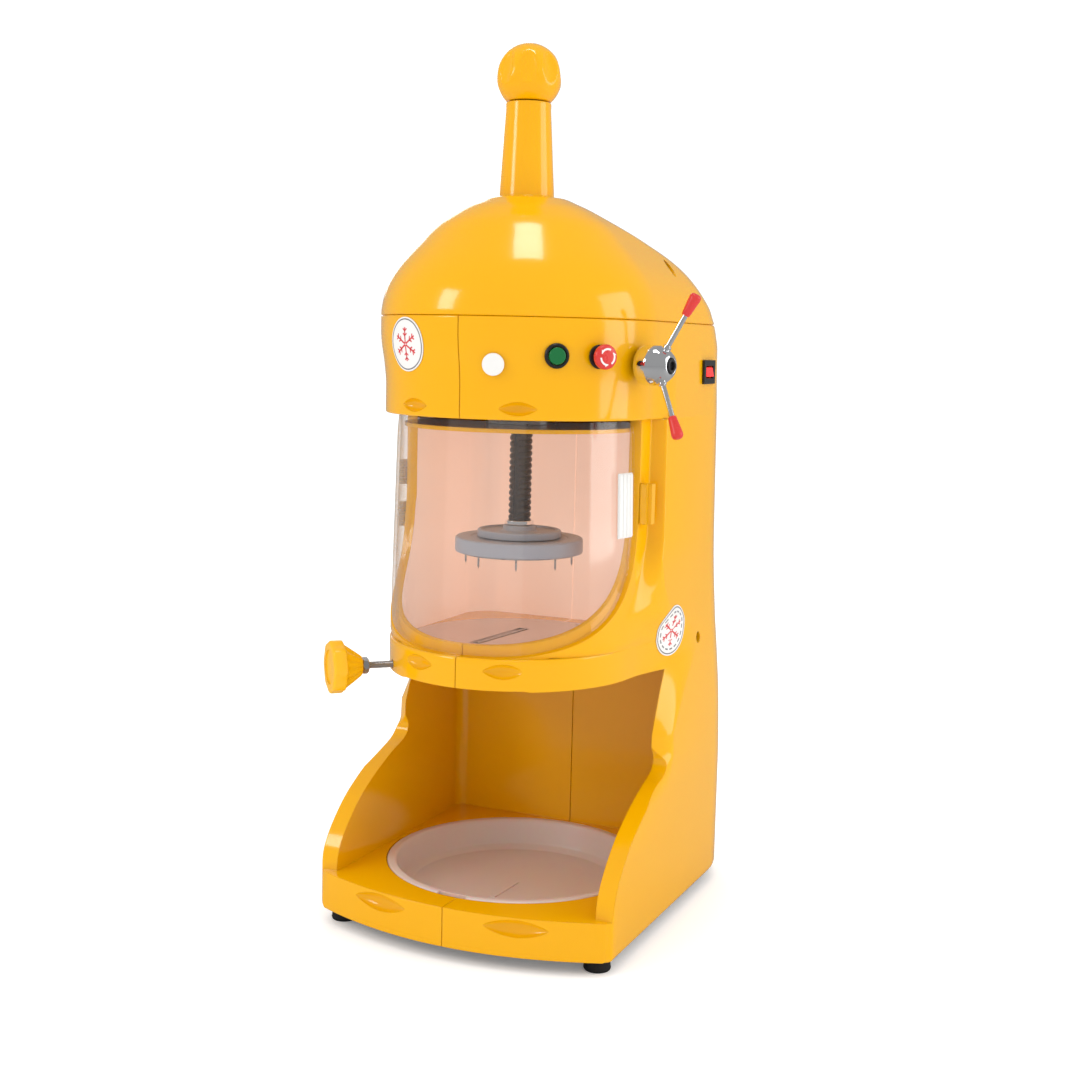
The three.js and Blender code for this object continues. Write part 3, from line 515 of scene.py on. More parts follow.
def body_loft(levels, inset=0.0, **steps):
    return loft([[(x, y, z) for x, y in outline(min(613, max(14, z)), inset, **steps)] for z in levels])


def between(z0, z1, step):
    count = max(1, round((z1 - z0) / step))
    return [z0 + (z1 - z0) * k / count for k in range(count)]


OUTER_LEVELS = ([14, 14.4, 14.8, 15.6, 16.5, 18] + between(20, 140, 40) + between(140, 289, 4)
                + between(289, 292, 1) + [292, 292.4, 292.9, 293, 293.1] + between(296, 400, 4)
                + between(400, 517.9, 12) + [517.9, 518, 518.2, 518.4, 518.8, 519.2, 520, 521]
                + between(524, 611, 4) + [611, 611.7, 612.4, 612.7, 613])
INNER_LEVELS = [10, 140, 160, 178, 230, 289, 320, 362, 400, 513.9, 545, 590, 615]
ALCOVE_CURVE = [(-153, 257), (-125, 249), (-97, 238), (-78, 226), (-60, 212), (-46, 198), (-36, 184),
                (-31, 175), (-33, 167), (-42, 160), (-60, 154), (-80, 146), (-105, 134), (-130, 119),
                (-150, 102), (-165, 85), (-173, 70), (-176, DECK_Z)]
COVER_EDGE = [(-192, 293), (-176, 295), (-156, 301), (-136, 309), (-118, 319), (-100, 333), (-86, 349),
              (-75, 368), (-68, 390), (-65, 410)]
FLOOR_Z = 287.0
CEILING_Z = 505.0
SKIRT_Z = 518.0
CHAMBER_R = 118.0
CHAMBER_BACK = 82.0
ALCOVE_HALF = 142.0
ALCOVE_BACK = 92.0
ALCOVE_TOP = 262.0


def alcove_cut(grow, steps):
    mid = 176
    side = []
    for y, z in spline(ALCOVE_CURVE, steps)[:-1]:
        d = hypot(y + 240, (z - mid) * 1.4)
        side.append((y + grow * (y + 240) / d, z + grow * (z - mid) * 1.4 / d))
    ends = [(-176 + grow, DECK_Z - grow), (-260, DECK_Z - grow)]
    return side_prism([(-260, 263 + grow), (-178, 263 + grow)] + side + ends, -200, 200)


def rounded_back(half, y0, y1, r, steps=12):
    arc = [(half - r + r * cos(pi / 2 * k / steps), y1 - r + r * sin(pi / 2 * k / steps))
           for k in range(steps + 1)]
    return [(-half, y0), (half, y0)] + arc + [(-x, y) for x, y in reversed(arc)]


def chamber_plan(grow, steps=72):
    r = CHAMBER_R + grow
    points = rounded_back(r, SPINDLE_Y, CHAMBER_BACK + grow, 30 + grow)[1:]
    arc = [(r * cos(pi + pi * k / steps), SPINDLE_Y + r * sin(pi + pi * k / steps))
           for k in range(steps)]
    return points + arc


def above_cover_edge(drop, top, back):
    low = [(y + back, z - drop) for y, z in spline(COVER_EDGE, 4)]
    sides = [(back - 62.5, 430), (back - 62.5, top), (-230, top)]
    return side_prism([(-230, 293 - drop)] + low + sides, -200, 200)


def disc(r, z0, z1, segments=64, x=0.0, y=SPINDLE_Y):
    return lathe([(0, z0), (r, z0), (r, z1), (0, z1)], segments, x, y)


def ring(r0, r1, z0, z1, segments=96, x=0.0, y=SPINDLE_Y):
    return lathe([(r0, z0), (r1, z0), (r1, z1), (r0, z1), (r0, z0)], segments, x, y)


def rod(r, start, end, segments=40):
    return lathe([(0, start), (r, start), (r, end), (0, end)], segments)


# Eye-shaped scoops: x, y, z, turn, long, tall, deep.
SCOOPS = [(54.4, -185.2, 528.5, 23.5, 38, 13, 6.5), (46.2, -187, 281.5, 19, 42, 14.5, 6),
          (73.8, -207.3, 42.3, 12, 68, 17, 7.5)]


def eye(sx, sy, sz, steps=32, around=24):
    """Eye-shaped lens: full at the middle, drawn to a point at both ends."""
    loops = []
    for k in range(1, steps):
        t = -1 + 2 * k / steps
        swell = 1 - t * t
        loops.append([(t * sx, sy * swell ** 0.75 * cos(TURN * i / around),
                       sz * swell * sin(TURN * i / around))
                      for i in range(around)])
    return loft(loops)


def scoop(row, side, grow):
    x, y, z, turn, long, tall, deep = row
    place = Matrix.Translation((side * x, y, z)) @ Matrix.Rotation(radians(side * turn), 4, "Z")
    return moved(eye(long / 2 + grow, deep + grow, tall / 2 + grow), place)


# ---------------------------------------------------------------- shells
CRANK_PLAN, KNOB_PLAN, START_PLAN, STOP_PLAN, CAP_PLAN = 76.5, -45.0, 37.7, 55.0, 14.0
crank_lo, crank_hi = span("crank_escutcheon", 2)
CRANK_Z = (crank_lo + crank_hi) / 2
KNOB_Z = sum(span("adjust_nut", 2)) / 2
BUTTON_Z = sum(span("start_bezel", 2)) / 2
CAP_Z = sum(span("indicator_cap", 2)) / 2
tray_lo, tray_hi = span("drip_tray", 1)
TRAY_Y = (tray_lo + tray_hi) / 2
TRAY_R = (tray_hi - tray_lo) / 2
RIM_TOP = span("drip_tray", 2)[1]

skin = raw_object("skin", body_loft(OUTER_LEVELS))
shade(skin, 180)
inner = raw_object("inner", loft([[(x, y, z) for x, y in outline(min(613, max(20, z)), SKIN, 16, 12, 10)]
                                  for z in INNER_LEVELS]))
carve(inner, [alcove_cut(SKIN, 2),
              prism(rounded_back(ALCOVE_HALF + SKIN, -260, ALCOVE_BACK + SKIN, 16), DECK_Z - SKIN,
                    ALCOVE_TOP + SKIN),
              prism(chamber_plan(SKIN, 36), FLOOR_Z - SKIN, CEILING_Z + SKIN),
              disc(TRAY_R + 5, 43.5, DECK_Z, y=TRAY_Y)])
door = raw_object("door", above_cover_edge(1.2 + SKIN, SKIRT_Z, SKIN))
carve(door, [ring(CHAMBER_R, 180, 280, SKIRT_Z)], "INTERSECT")
slot_ring = raw_object("slot_ring", above_cover_edge(1.2, SKIRT_Z, 0))
carve(slot_ring, [ring(122.3, 131.5, 280, SKIRT_Z)], "INTERSECT")
doorway = raw_object("doorway", above_cover_edge(-9, SKIRT_Z, 0))
carve(doorway, [disc(131.5, 280, SKIRT_Z)], "INTERSECT")


def cut_by(obj, other, operation="DIFFERENCE"):
    change = obj.modifiers.new("cut", "BOOLEAN")
    change.solver = "MANIFOLD"
    change.operation = operation
    change.object = other
    graph = bpy.context.evaluated_depsgraph_get()
    mesh = bpy.data.meshes.new_from_object(obj.evaluated_get(graph))
    obj.modifiers.clear()
    obj.data = mesh


cut_by(inner, door)
pockets = [scoop(row, side, 3) for row in SCOOPS for side in (1, -1)]
carve(inner, pockets)

louvres = [block(side * 48 - 26, side * 48 + 26, 200, 222, 420 + 14 * k, 425 + 14 * k)
           for k in range(5) for side in (1, -1)]
shell_cuts = [alcove_cut(0, 6),
              prism(rounded_back(ALCOVE_HALF, -260, ALCOVE_BACK, 12), DECK_Z, ALCOVE_TOP),
              prism(chamber_plan(0), FLOOR_Z, CEILING_Z + SKIN + 1)]
shell_cuts += [scoop(row, side, 0) for row in SCOOPS for side in (1, -1)]
shell_cuts += [disc(129.6, 40, 60, 96, y=TRAY_Y), disc(TRAY_R + 1, RIM_TOP - 3.9, 60, 96, y=TRAY_Y),
               block(-52, 16, -117, -1, 255, 292),
               radial(rod(6.2, 120, 150), CRANK_PLAN, CRANK_Z), radial(rod(4.4, 64, 150), KNOB_PLAN, KNOB_Z),
               radial(rod(8.6, 120, 150), START_PLAN, BUTTON_Z),
               radial(rod(6.6, 120, 150), STOP_PLAN, BUTTON_Z), radial(rod(5.6, 120, 150), CAP_PLAN, CAP_Z),
               block(132, 150, 79, 109, 554, 573), block(46, 74, 200, 220, 74, 98),
               moved(rod(6, 147, 160), Matrix.Translation((0, 68.2, 283.9))
                     @ Matrix.Rotation(pi / 2, 4, "Y"))]
shell_cuts += louvres

whole = raw_object("whole", (lambda m: ([tuple((v.co - ORIGIN) / MM) for v in m.vertices],
                                         [tuple(p.vertices) for p in m.polygons]))(skin.data))
for other in (doorway, slot_ring, inner):
    cut_by(whole, other)
carve(whole, shell_cuts)
for side, name in ((1, "right"), (-1, "left")):
    half = raw_object("shell_" + name + "_skin", ([(0, 0, 0)], []))
    half.data = whole.data.copy()
    carve(half, [block(SEAM_HALF, 300, -300, 300, 0, 700) if side > 0 else
                 block(-300, -SEAM_HALF, -300, 300, 0, 700)], "INTERSECT")
    shade(half, 32)
    follow(half, skin)
    half.data.materials.clear()
    half.data.materials.append(MATERIALS["body_yellow"])
    half.data.materials.append(MATERIALS["chamber_wall_painted_glow"])
    # Faces inside the chamber take the chamber finish with its painted glow and painted pale veil colour; all
    # other faces take the yellow plastic.
    for face in half.data.polygons:
        at = (face.center - ORIGIN) / MM
        out = hypot(at.x, min(0, at.y - SPINDLE_Y))
        inside = out < CHAMBER_R + 1.2 and at.y < CHAMBER_BACK + 1 and FLOOR_Z + 0.5 < at.z < CEILING_Z + 6
        face.material_index = 1 if inside else 0
    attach(half, "machine")
    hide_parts("shell_" + name)
for tool in (whole, inner, door, slot_ring, doorway):
    bpy.data.objects.remove(tool)


# ---------------------------------------------------------------- hood, sleeve, ball
HOOD = [(613.3, 140.8, 196.8), (613.9, 141.7, 197.6), (615, 142, 197.4), (620, 141.6, 193), (630, 139.8, 187),
        (641, 136.4, 176), (652, 131, 167), (664, 123, 157), (676, 113, 142), (687, 103, 118), (697, 94, 84),
        (706, 84.5, 48), (714, 73, 22), (720.5, 62, 4), (725.5, 51, -9), (728.6, 44, -16), (730, 40, -20)]


def hood_loop(z, w, rear, inset=0.0):
    r = w - inset
    back = rear - inset
    corner = min(REAR_RADIUS, w) - inset
    half = [(r * sin(pi / 2 * i / 36), SPINDLE_Y - r * cos(pi / 2 * i / 36)) for i in range(37)]
    half += [(r, SPINDLE_Y + (back - corner - SPINDLE_Y) * k / 4) for k in range(1, 4)]
    half += [(r - corner + corner * cos(pi / 2 * i / 24), back - corner + corner * sin(pi / 2 * i / 24))
             for i in range(25)]
    if r - corner < 0.01:
        half[-1] = (0.001, back)
    return [(x, y, z) for x, y in half] + [(-x, y, z) for x, y in reversed(half[1:])]


rows = spline(HOOD, 5)
hood_skin = raw_object("hood_whole", loft([hood_loop(*row) for row in rows]))
shade(hood_skin, 180)
piece("hood_skin", loft([hood_loop(*row) for row in rows]), "machine", "body_yellow", ["hood"],
      cuts=[loft([hood_loop(z - (3.5 if k else 8), w, rear, 3) for k, (z, w, rear) in enumerate(rows[::4])]),
            disc(21.5, 700, 740)]
      + [moved(eye(17, 5.5, 6.5), Matrix.Translation((side * 119, 33, 668))
               @ Matrix.Rotation(side * 0.52, 4, "Y")
               @ Matrix.Rotation(side * -0.12, 4, "Z")) for side in (1, -1)],
      guide=hood_skin)

sleeve = [(23, 730.2), (28.6, 730.2), (28.6, 731.6), (27.2, 732.4), (27, 738), (25.6, 760), (23.9, 790),
          (22.3, 816), (22.5, 821), (22.1, 822.7), (20, 823.2), (18.2, 823.2), (18.2, 815), (23, 738),
          (23, 730.2)]
piece("screw_sleeve_skin", lathe(sleeve, 96, 0, SPINDLE_Y), "machine", "body_yellow", ["screw_sleeve"])

ball_z = span("ball_knob", 2)[1] - 32.2
loops = []
for k in range(1, 61):
    t = -0.85 + (pi / 2 + 0.85) * k / 60 - 0.012
    loop = []
    for i in range(160):
        a = TURN * i / 160
        q = 1.0
        for d in range(8):
            away = atan2(sin(a - TURN * (d + 0.5) / 8), cos(a - TURN * (d + 0.5) / 8))
            q = min(q, (away / 0.3) ** 2 + ((t - 0.22) / 0.5) ** 2)
        r = 32.2 - 4.4 * (1 - q) ** 0.75 if q < 1 else 32.2
        loop.append((r * cos(t) * sin(a), SPINDLE_Y - r * cos(t) * cos(a), ball_z + r * sin(t)))
    loops.append(loop)
piece("ball_knob_skin", loft(loops), "machine", "body_yellow", ["ball_knob"], angle=60)


# ---------------------------------------------------------------- base, feet, tray
for place, x, y in (("front_left", -140, -163), ("front_right", 140, -163), ("rear_left", -112, 158),
                    ("rear_right", 112, 158)):
    profile = rounded([(0, 0), (12.4, 0), (13.4, 2.4), (12.9, 4), (12, 12.5), (11, 13.7), (0, 13.7)], 0.8)
    piece("foot_pad_" + place, lathe(profile, 48, x, y), "machine", "black_rubber", ["foot_" + place])

rim0 = RIM_TOP - 3.6
tray_profile = rounded([(0, 21), (112, 21), (119.5, 27), (128.4, rim0), (TRAY_R, rim0), (TRAY_R, rim0 + 2.6),
                        (TRAY_R - 1.2, RIM_TOP), (127.5, RIM_TOP), (125.6, rim0 + 1.8), (117.6, 28.4),
                        (111, 23.6), (0, 23.6)], 1.4)
notch = moved(block(-16, 16, -TRAY_R - 3, -129.5, rim0 - 0.2, 60),
              Matrix.Translation((0, TRAY_Y, 0)) @ Matrix.Rotation(radians(-3), 4, "Z"))
slot_mark = moved(block(-3, 3, -25, 25, 23.0, 24.6), Matrix.Translation((-3, TRAY_Y - 22, 0))
                  @ Matrix.Rotation(radians(-3.5), 4, "Z"))
tray = piece("tray_pan", lathe(tray_profile, 144, 0, TRAY_Y), "tray", "frosted_tray", ["drip_tray"],
             cuts=[notch])
carve(tray, [slot_mark], "UNION")
shade(tray, 35)


# ---------------------------------------------------------------- clear cover
def cover_radius(z):
    return 130 + (124 - 130) * (z - 285) / (516.6 - 285)


top = span("clear_cover", 2)[1]
edge_curve = spline(COVER_EDGE, 6)


def cover_bottom(y):
    for (y0, z0), (y1, z1) in zip(edge_curve, edge_curve[1:]):
        if y <= y1:
            return z0 + (z1 - z0) * (y - y0) / (y1 - y0)
    return 412.0


loops = []
STEPS = 112
for k in range(STEPS + 1):
    a = radians(-87.6 + 175.2 * k / STEPS)
    y = SPINDLE_Y - 128.5 * cos(a) + 1.3
    low = min(430, cover_bottom(y)) + 0.4
    side = min(1, (k / STEPS) / 0.012, (1 - k / STEPS) / 0.012)
    corner = 9 * (1 - sqrt(max(0, 1 - (1 - min(1, min(k, STEPS - k) / 6)) ** 2)))
    high = top - corner
    section = []
    thick = 3.0 * (0.55 + 0.45 * side)
    for side_r, (za, zb) in ((0, (low, high)), (1, (high, low))):
        for s in range(13):
            z = za + (zb - za) * s / 12
            trim = 0.9 * max(0, 1 - min(s, 12 - s))
            r = cover_radius(z) - (trim if side_r == 0 else thick - trim)
            section.append((r * sin(a), SPINDLE_Y - r * cos(a),
                            z + (0.5 * trim if s == 0 else -0.5 * trim) * (1 if side_r == 0 else -1)))
    loops.append(section)
cover = piece("cover_skin", loft(loops), "cover", "clear_acrylic", ["clear_cover"], angle=50)


def grip_loop(z):
    radius = 127.3 + (125.7 - 127.3) * (z - 404) / 63 + 0.1
    outside, inside = [], []
    for k in range(49):
        u = k / 48
        t = radians(-6 - 11 * u)
        ends = min(1, u / 0.05, (1 - u) / 0.05, (z - 404 + 0.01) / 2, (467.01 - z) / 2)
        rib = 2.5 - 1.5 * max(0, 1 - abs(((u * 4 + 0.5) % 1) - 0.5) / 0.16) ** 2
        if u < 0.04 or u > 0.96:
            rib = 2.3
        r = radius + rib * (0.35 + 0.65 * max(0, ends))
        outside.append((r * cos(t), SPINDLE_Y + r * sin(t), z))
        inside.append((radius * cos(t), SPINDLE_Y + radius * sin(t), z))
    return outside + inside[::-1]


piece("grip_strip", loft([grip_loop(z) for z in (404, 404.4, 405, 406, 420, 435, 450, 465, 466, 466.6, 467)]),
      "cover", "white_plastic", ["cover_grip"], angle=40)
for name in ("cover_hinge_upper", "cover_hinge_lower"):
    z0, z1 = span(name, 2)
    parts = [(lathe(rounded([(0, z0 + g), (3.2, z0 + g), (3.2, z0 + h), (0, z0 + h)], 0.4), 32, -134.6,
                    -63.5))
             for g, h in ((0, (z1 - z0) * 0.32), ((z1 - z0) * 0.34, (z1 - z0) * 0.66),
                          ((z1 - z0) * 0.68, z1 - z0))]
    pin = lathe([(0, z0 + 0.3), (1.8, z0 + 0.3), (1.8, z1 - 0.3), (0, z1 - 0.3)], 24, -134.6, -63.5)
    piece(name + "_knuckles", joined(*parts, pin, block(-133, -130.4, -61.8, -46.2, z0, z1)), "machine",
          "steel", [name])


# ---------------------------------------------------------------- ice press
def thread(r_root, r_crest, pitch, z0, z1, centre_y, turn_steps=48, round_crest=True):
    """Screw with a helical crest, closed at both ends."""
    loops = []
    per = 10
    rows = int((z1 - z0) / pitch * per)
    for k in range(rows + 1):
        z = z0 + (z1 - z0) * k / rows
        fade = min(1, (z - z0) / 1.5 + 0.1, (z1 - z) / 1.5 + 0.1)
        loop = []
        for i in range(turn_steps):
            a = TURN * i / turn_steps
            p = ((z - z0) / pitch - i / turn_steps) % 1
            crest = sqrt(max(0, 1 - (2 * p - 1) ** 2)) if round_crest else 1 - abs(2 * p - 1)
            r = (r_root + (r_crest - r_root) * crest) * (0.75 + 0.25 * fade)
            loop.append((r * cos(a), centre_y + r * sin(a), z))
        loops.append(loop)
    return loft(loops)


s0, s1 = span("lead_screw", 2)
keyway = block(-2.2, 2.2, SPINDLE_Y - 14, SPINDLE_Y - 9.0, 414, 730)
piece("screw_thread", thread(9.0, 11.5, 6.2, s0 + 0.1, s1, SPINDLE_Y), "press", "blackened_steel",
      ["lead_screw"], cuts=[keyway], angle=50)
c0, c1 = span("screw_collar", 2)
piece("collar_ring", lathe(rounded([(11.9, c0), (14.5, c0), (14.5, c1), (11.9, c1), (11.9, c0)], 0.5), 64, 0,
                           SPINDLE_Y),
      "press", "chrome", ["screw_collar"])
h0 = span("disc_hub", 2)[0]
hub = rounded([(11.8, h0), (42.6, h0), (42.6, h0 + 6.4), (41.4, h0 + 7.5), (39.2, h0 + 7.5), (38.2, h0 + 5.4),
               (20, h0 + 5.4), (17.2, h0 + 7.0), (16.2, h0 + 11.8), (11.8, h0 + 11.8), (11.8, h0)], 0.7)
piece("hub_turned", lathe(hub, 96, 0, SPINDLE_Y), "press", "grey_plastic", ["disc_hub"])
d0, d1 = span("press_disc", 2)
disc_profile = rounded([(0, d0), (64.4, d0), (65, d0 + 1), (65, d1 - 1.6), (63.6, d1), (50, d1),
                        (49, d1 - 0.8), (0, d1 - 0.8)], 0.8)
piece("disc_turned", lathe(disc_profile, 120, 0, SPINDLE_Y), "press", "grey_plastic", ["press_disc"])


# ---------------------------------------------------------------- blade plate
p0, p1 = span("blade_plate", 2)
slot_place = Matrix.Translation((-17.5, -59, 0)) @ Matrix.Rotation(radians(-5.5), 4, "Z")
groove = moved(block(-15.3, 15.3, -0.7, 0.7, p1 - 0.5, p1 + 2),
               Matrix.Translation((32.1, 32.4, 0)) @ Matrix.Rotation(atan2(-20.5, 22.6), 4, "Z"))
piece("plate_turned", lathe(rounded([(0, p0), (112, p0), (112, p1 - 0.6), (111.4, p1), (0, p1)], 0.4), 144, 0,
                            SPINDLE_Y),
      "machine", "plate_steel", ["blade_plate"],
      cuts=[moved(block(-8.5, 4, -50, 50, 280, 295), slot_place), groove])


# ---------------------------------------------------------------- thickness adjuster
def lobed(z, r, lobe, teeth, sharp=False):
    points = []
    for i in range(192):
        t = TURN * i / 192
        wave = cos(teeth * t)
        if sharp:
            wave = 1 - 2 * abs(sin(teeth * t / 2)) ** 0.7
        rr = r + lobe * wave
        points.append((rr * cos(t), rr * sin(t), z))
    return points


knob_rows = [(163.5, 9.2, 0.4, 12), (164, 9.8, 0.5, 12), (172, 15.2, 0.9, 12), (181, 21.4, 0.9, 12),
             (181.8, 22.4, 0.6, 12), (182.4, 24.4, 0.6, 8), (183.2, 25.4, 0.8, 8), (184.4, 25.7, 0.8, 8),
             (193.6, 25.7, 0.8, 8), (194.9, 25.3, 0.8, 8), (195.7, 24.4, 0.7, 8), (196, 22.6, 0.6, 8)]
piece("adjust_knob_moulded", radial(loft([lobed(*row) for row in knob_rows]), KNOB_PLAN, KNOB_Z), "adjuster",
      "knob_yellow", ["adjust_knob"], angle=40,
      cuts=[radial(rod(4.1, 150, 181), KNOB_PLAN, KNOB_Z),
            radial(lathe(rounded([(0, 194.4), (17, 194.4), (17.6, 200), (0, 200)], 0.5), 64), KNOB_PLAN,
                   KNOB_Z)])
hexagon = [(8.4 * cos(TURN * k / 6), 8.4 * sin(TURN * k / 6)) for k in range(6)]
nut = piece("adjust_nut_hex", radial(prism(hexagon, 156.6, 162.8), KNOB_PLAN, KNOB_Z), "adjuster", "steel",
            ["adjust_nut"], cuts=[radial(rod(3.95, 150, 170), KNOB_PLAN, KNOB_Z)])
carve(nut, [radial(lathe([(0, 155.4), (5.6, 155.4), (8.5, 158), (8.5, 161.4), (5.6, 164), (0, 164)], 48),
                   KNOB_PLAN, KNOB_Z)],
      "INTERSECT")
shade(nut, 30)
piece("adjust_screw_thread", radial(thread(3.05, 3.6, 1.25, 70, 180, 0, 24, False), KNOB_PLAN, KNOB_Z),
      "adjuster", "steel", ["adjust_screw"], angle=60)


# ---------------------------------------------------------------- crank
hub_rows = rounded([(5.3, 144), (15.5, 144), (18.2, 146), (19.4, 150), (19.5, 160), (18.4, 165.5),
                    (15.4, 171.5), (11.5, 176), (7.4, 177.8), (7.4, 173), (5.3, 173), (5.3, 144)], 1.6, 5)
axis = plan(CRANK_PLAN)
across = Vector((0, 0, 1)).cross(axis)
centre = Vector((0, SPINDLE_Y, CRANK_Z)) + axis * 161
TILT, LEAN = radians(27), radians(10)


def on_arm(solid, sign):
    up = Vector((0, 0, cos(LEAN))) + across * sin(LEAN)
    return aimed(solid, up * sign * cos(TILT) + axis * sin(TILT), centre)


piece("crank_hub_turned", radial(lathe(hub_rows, 96), CRANK_PLAN, CRANK_Z), "crank", "chrome", ["crank_hub"],
      cuts=[on_arm(rod(3.1, 12.4, 40), 1), on_arm(rod(3.1, 12.4, 40), -1)], angle=40)
for sign, name in ((1, "upper"), (-1, "lower")):
    arm_rows = rounded([(0, 12.9), (2.75, 12.9), (2.75, 17.4), (4.2, 18), (4.2, 20.6), (2.75, 21.4),
                        (2.75, 65.6), (0, 66)], 0.5)
    piece("crank_arm_rod_" + name, on_arm(lathe(arm_rows, 40), sign), "crank", "chrome",
          ["crank_arm_" + name])
    grip_rows = rounded([(0, 66.4), (3.05, 66.4), (3.05, 53.6), (3.9, 53.6), (4.6, 60), (5.2, 66),
                         (5.7, 71.5), (5.2, 74.2), (3.4, 75.6), (0, 76)], 0.9)
    piece("crank_grip_moulded_" + name, on_arm(lathe(grip_rows, 48), sign), "crank", "red_plastic",
          ["crank_grip_" + name])
ring_rows = rounded([(6, 141.3), (11.5, 141.3), (11.3, 143.2), (10.6, 143.7), (6, 143.7), (6, 141.3)], 0.5)
piece("crank_collar", radial(lathe(ring_rows, 64), CRANK_PLAN, CRANK_Z), "machine", "black_plastic",
      ["crank_escutcheon"])
cap_rows = rounded([(0, 173.5), (7, 173.5), (7, 177.8), (6.2, 178.7), (4.2, 178.7), (3.6, 175.4), (0, 175.2)],
                   0.5)
piece("crank_socket", radial(lathe(cap_rows, 48), CRANK_PLAN, CRANK_Z), "crank", "black_plastic",
      ["crank_cap"])


# ---------------------------------------------------------------- switches
def turned_out(name, rows, at, z, body, material, node, radius=0.5, segments=64):
    return piece(name, radial(lathe(rounded(rows, radius), segments), at, z), body, material, [node])


turned_out("start_ring", [(8.6, 141.3), (11.8, 141.3), (11.6, 142.8), (10.4, 144), (8.8, 144), (8.6, 141.3)],
           START_PLAN, BUTTON_Z, "machine", "black_plastic", "start_bezel")
turned_out("start_cap", [(0, 128), (8, 128), (8, 144.2), (7.4, 145.2), (6, 145.4), (0, 144.9)], START_PLAN,
           BUTTON_Z, "start", "green_plastic", "start_button", 0.6)
turned_out("stop_neck", [(6.6, 141.3), (11.4, 141.3), (11, 143), (8.5, 143.6), (6.6, 143.6), (6.6, 141.3)],
           STOP_PLAN, BUTTON_Z, "machine", "black_plastic", "stop_collar")
turned_out("stop_mushroom", [(0, 128), (6, 128), (6, 148.6), (10.6, 148.6), (11.7, 150), (11.7, 153),
                             (10.4, 155.2),
                             (6, 156.1), (0, 156.4)], STOP_PLAN, BUTTON_Z, "stop", "red_plastic",
           "stop_button", 1.0)
turned_out("cap_domed", [(0, 132), (5.2, 132), (5.2, 140.6), (10.4, 140.6), (10.4, 142.2), (9.6, 143),
                         (4, 143.5), (0, 143.6)],
           CAP_PLAN, CAP_Z, "machine", "white_plastic", "indicator_cap", 0.5)


def face_arrow(start, sweep, r, depth, width=1.0):
    """Curved arrow lying on the stop button's face."""
    points, count = [], 14
    for k in range(count + 1):
        t = start + sweep * k / count
        points.append(((r + width) * cos(t), (r + width) * sin(t)))
    for k in range(count, -1, -1):
        t = start + sweep * k / count
        points.append(((r - width) * cos(t), (r - width) * sin(t)))
    tip = start + sweep
    head = [((r + 2.3) * cos(tip), (r + 2.3) * sin(tip)), (r * cos(tip + 0.42), r * sin(tip + 0.42)),
            ((r - 2.3) * cos(tip), (r - 2.3) * sin(tip))]
    return joined(prism(points, depth, depth + 0.25), prism(head, depth, depth + 0.25))


arrows = joined(*[face_arrow(TURN * k / 3, 1.2, 7.2, 155.75) for k in range(3)])
piece("stop_arrows", radial(arrows, STOP_PLAN, BUTTON_Z), "stop", "white_plastic")

frame_ring = piece("rocker_bezel", block(143.4, 146.2, 76.5, 111.5, 551, 576), "machine", "black_plastic",
                   ["rocker_frame"], cuts=[block(130, 150, 82, 106, 557, 570)])
bevel = frame_ring.modifiers.new("bevel", "BEVEL")
bevel.width = 0.6 * MM
bevel.segments = 3
rock = []
for z in (558.6, 559.2, 561, 563.5, 566, 567.9, 568.5):
    lift = 147.0 - 0.18 * (z - 558.6) - (0.7 if z in (558.6, 568.5) else 0)
    rock.append([(139.2, 82.6, z), (lift - 0.7, 82.6, z), (lift, 83.3, z), (lift, 104.7, z),
                 (lift - 0.7, 105.4, z), (139.2, 105.4, z)])
piece("rocker_lit", loft(rock), "power", "lit_red", ["rocker"], angle=40)

piece("inlet_housing", block(46.4, 73.6, 188, 214.2, 74.4, 97.6), "machine", "black_plastic", ["power_inlet"],
      cuts=[block(50, 70, 198, 220, 78, 94)])
for k, (x, z) in enumerate(((55, 83.5), (60, 89), (65, 83.5))):
    pin = loft([[(x - 1, y, z - 2 + t), (x + 1, y, z - 2 + t), (x + 1, y, z + 2 - t), (x - 1, y, z + 2 - t)]
                for y, t in ((197, 0), (209, 0), (210.5, 0.6))])
    piece("inlet_pin_%d" % k, pin, "machine", "steel", angle=30)


# ---------------------------------------------------------------- badges
skin_tree = BVHTree.FromPolygons([v.co for v in skin.data.vertices], [p.vertices for p in skin.data.polygons])


def on_skin(point, direction, u, v, lift):
    """Point of the outer skin seen along a direction, u across and v up, raised a little."""
    out = Vector(direction).normalized()
    right = Vector((0, 0, 1)).cross(out).normalized()
    start = ORIGIN + (Vector(point) + right * u + Vector((0, 0, v)) + out * 30) * MM
    hit, normal, _, _ = skin_tree.ray_cast(start, -out)
    if normal.dot(out) < 0:
        normal = -normal
    return (hit + normal * lift * MM - ORIGIN) / MM


def sticker(point, direction, ring_points, lift, thick):
    """Thin sheet that follows the skin inside a ring of outlines from the middle out."""
    top = [[on_skin(point, direction, u, v, lift + thick) for u, v in loop] for loop in ring_points]
    low = [[on_skin(point, direction, u, v, lift) for u, v in loop] for loop in ring_points]
    return loft(top + low[::-1])


def circle(r, n=96):
    return [(r * cos(TURN * k / n), r * sin(TURN * k / n)) for k in range(n)]


def band(point, direction, r0, r1, lift, thick, a0=0.0, a1=TURN, n=96):
    closed = abs(a1 - a0 - TURN) < 1e-6
    count = n if closed else n + 1
    angles = [a0 + (a1 - a0) * k / n for k in range(count)]
    loops = []
    for a in angles:
        loops.append([on_skin(point, direction, r * cos(a), r * sin(a), lift + h)
                      for r, h in ((r0, 0), (r1, 0), (r1, thick), (r0, thick))])
    return loft(loops, capped=not closed, closed=closed)


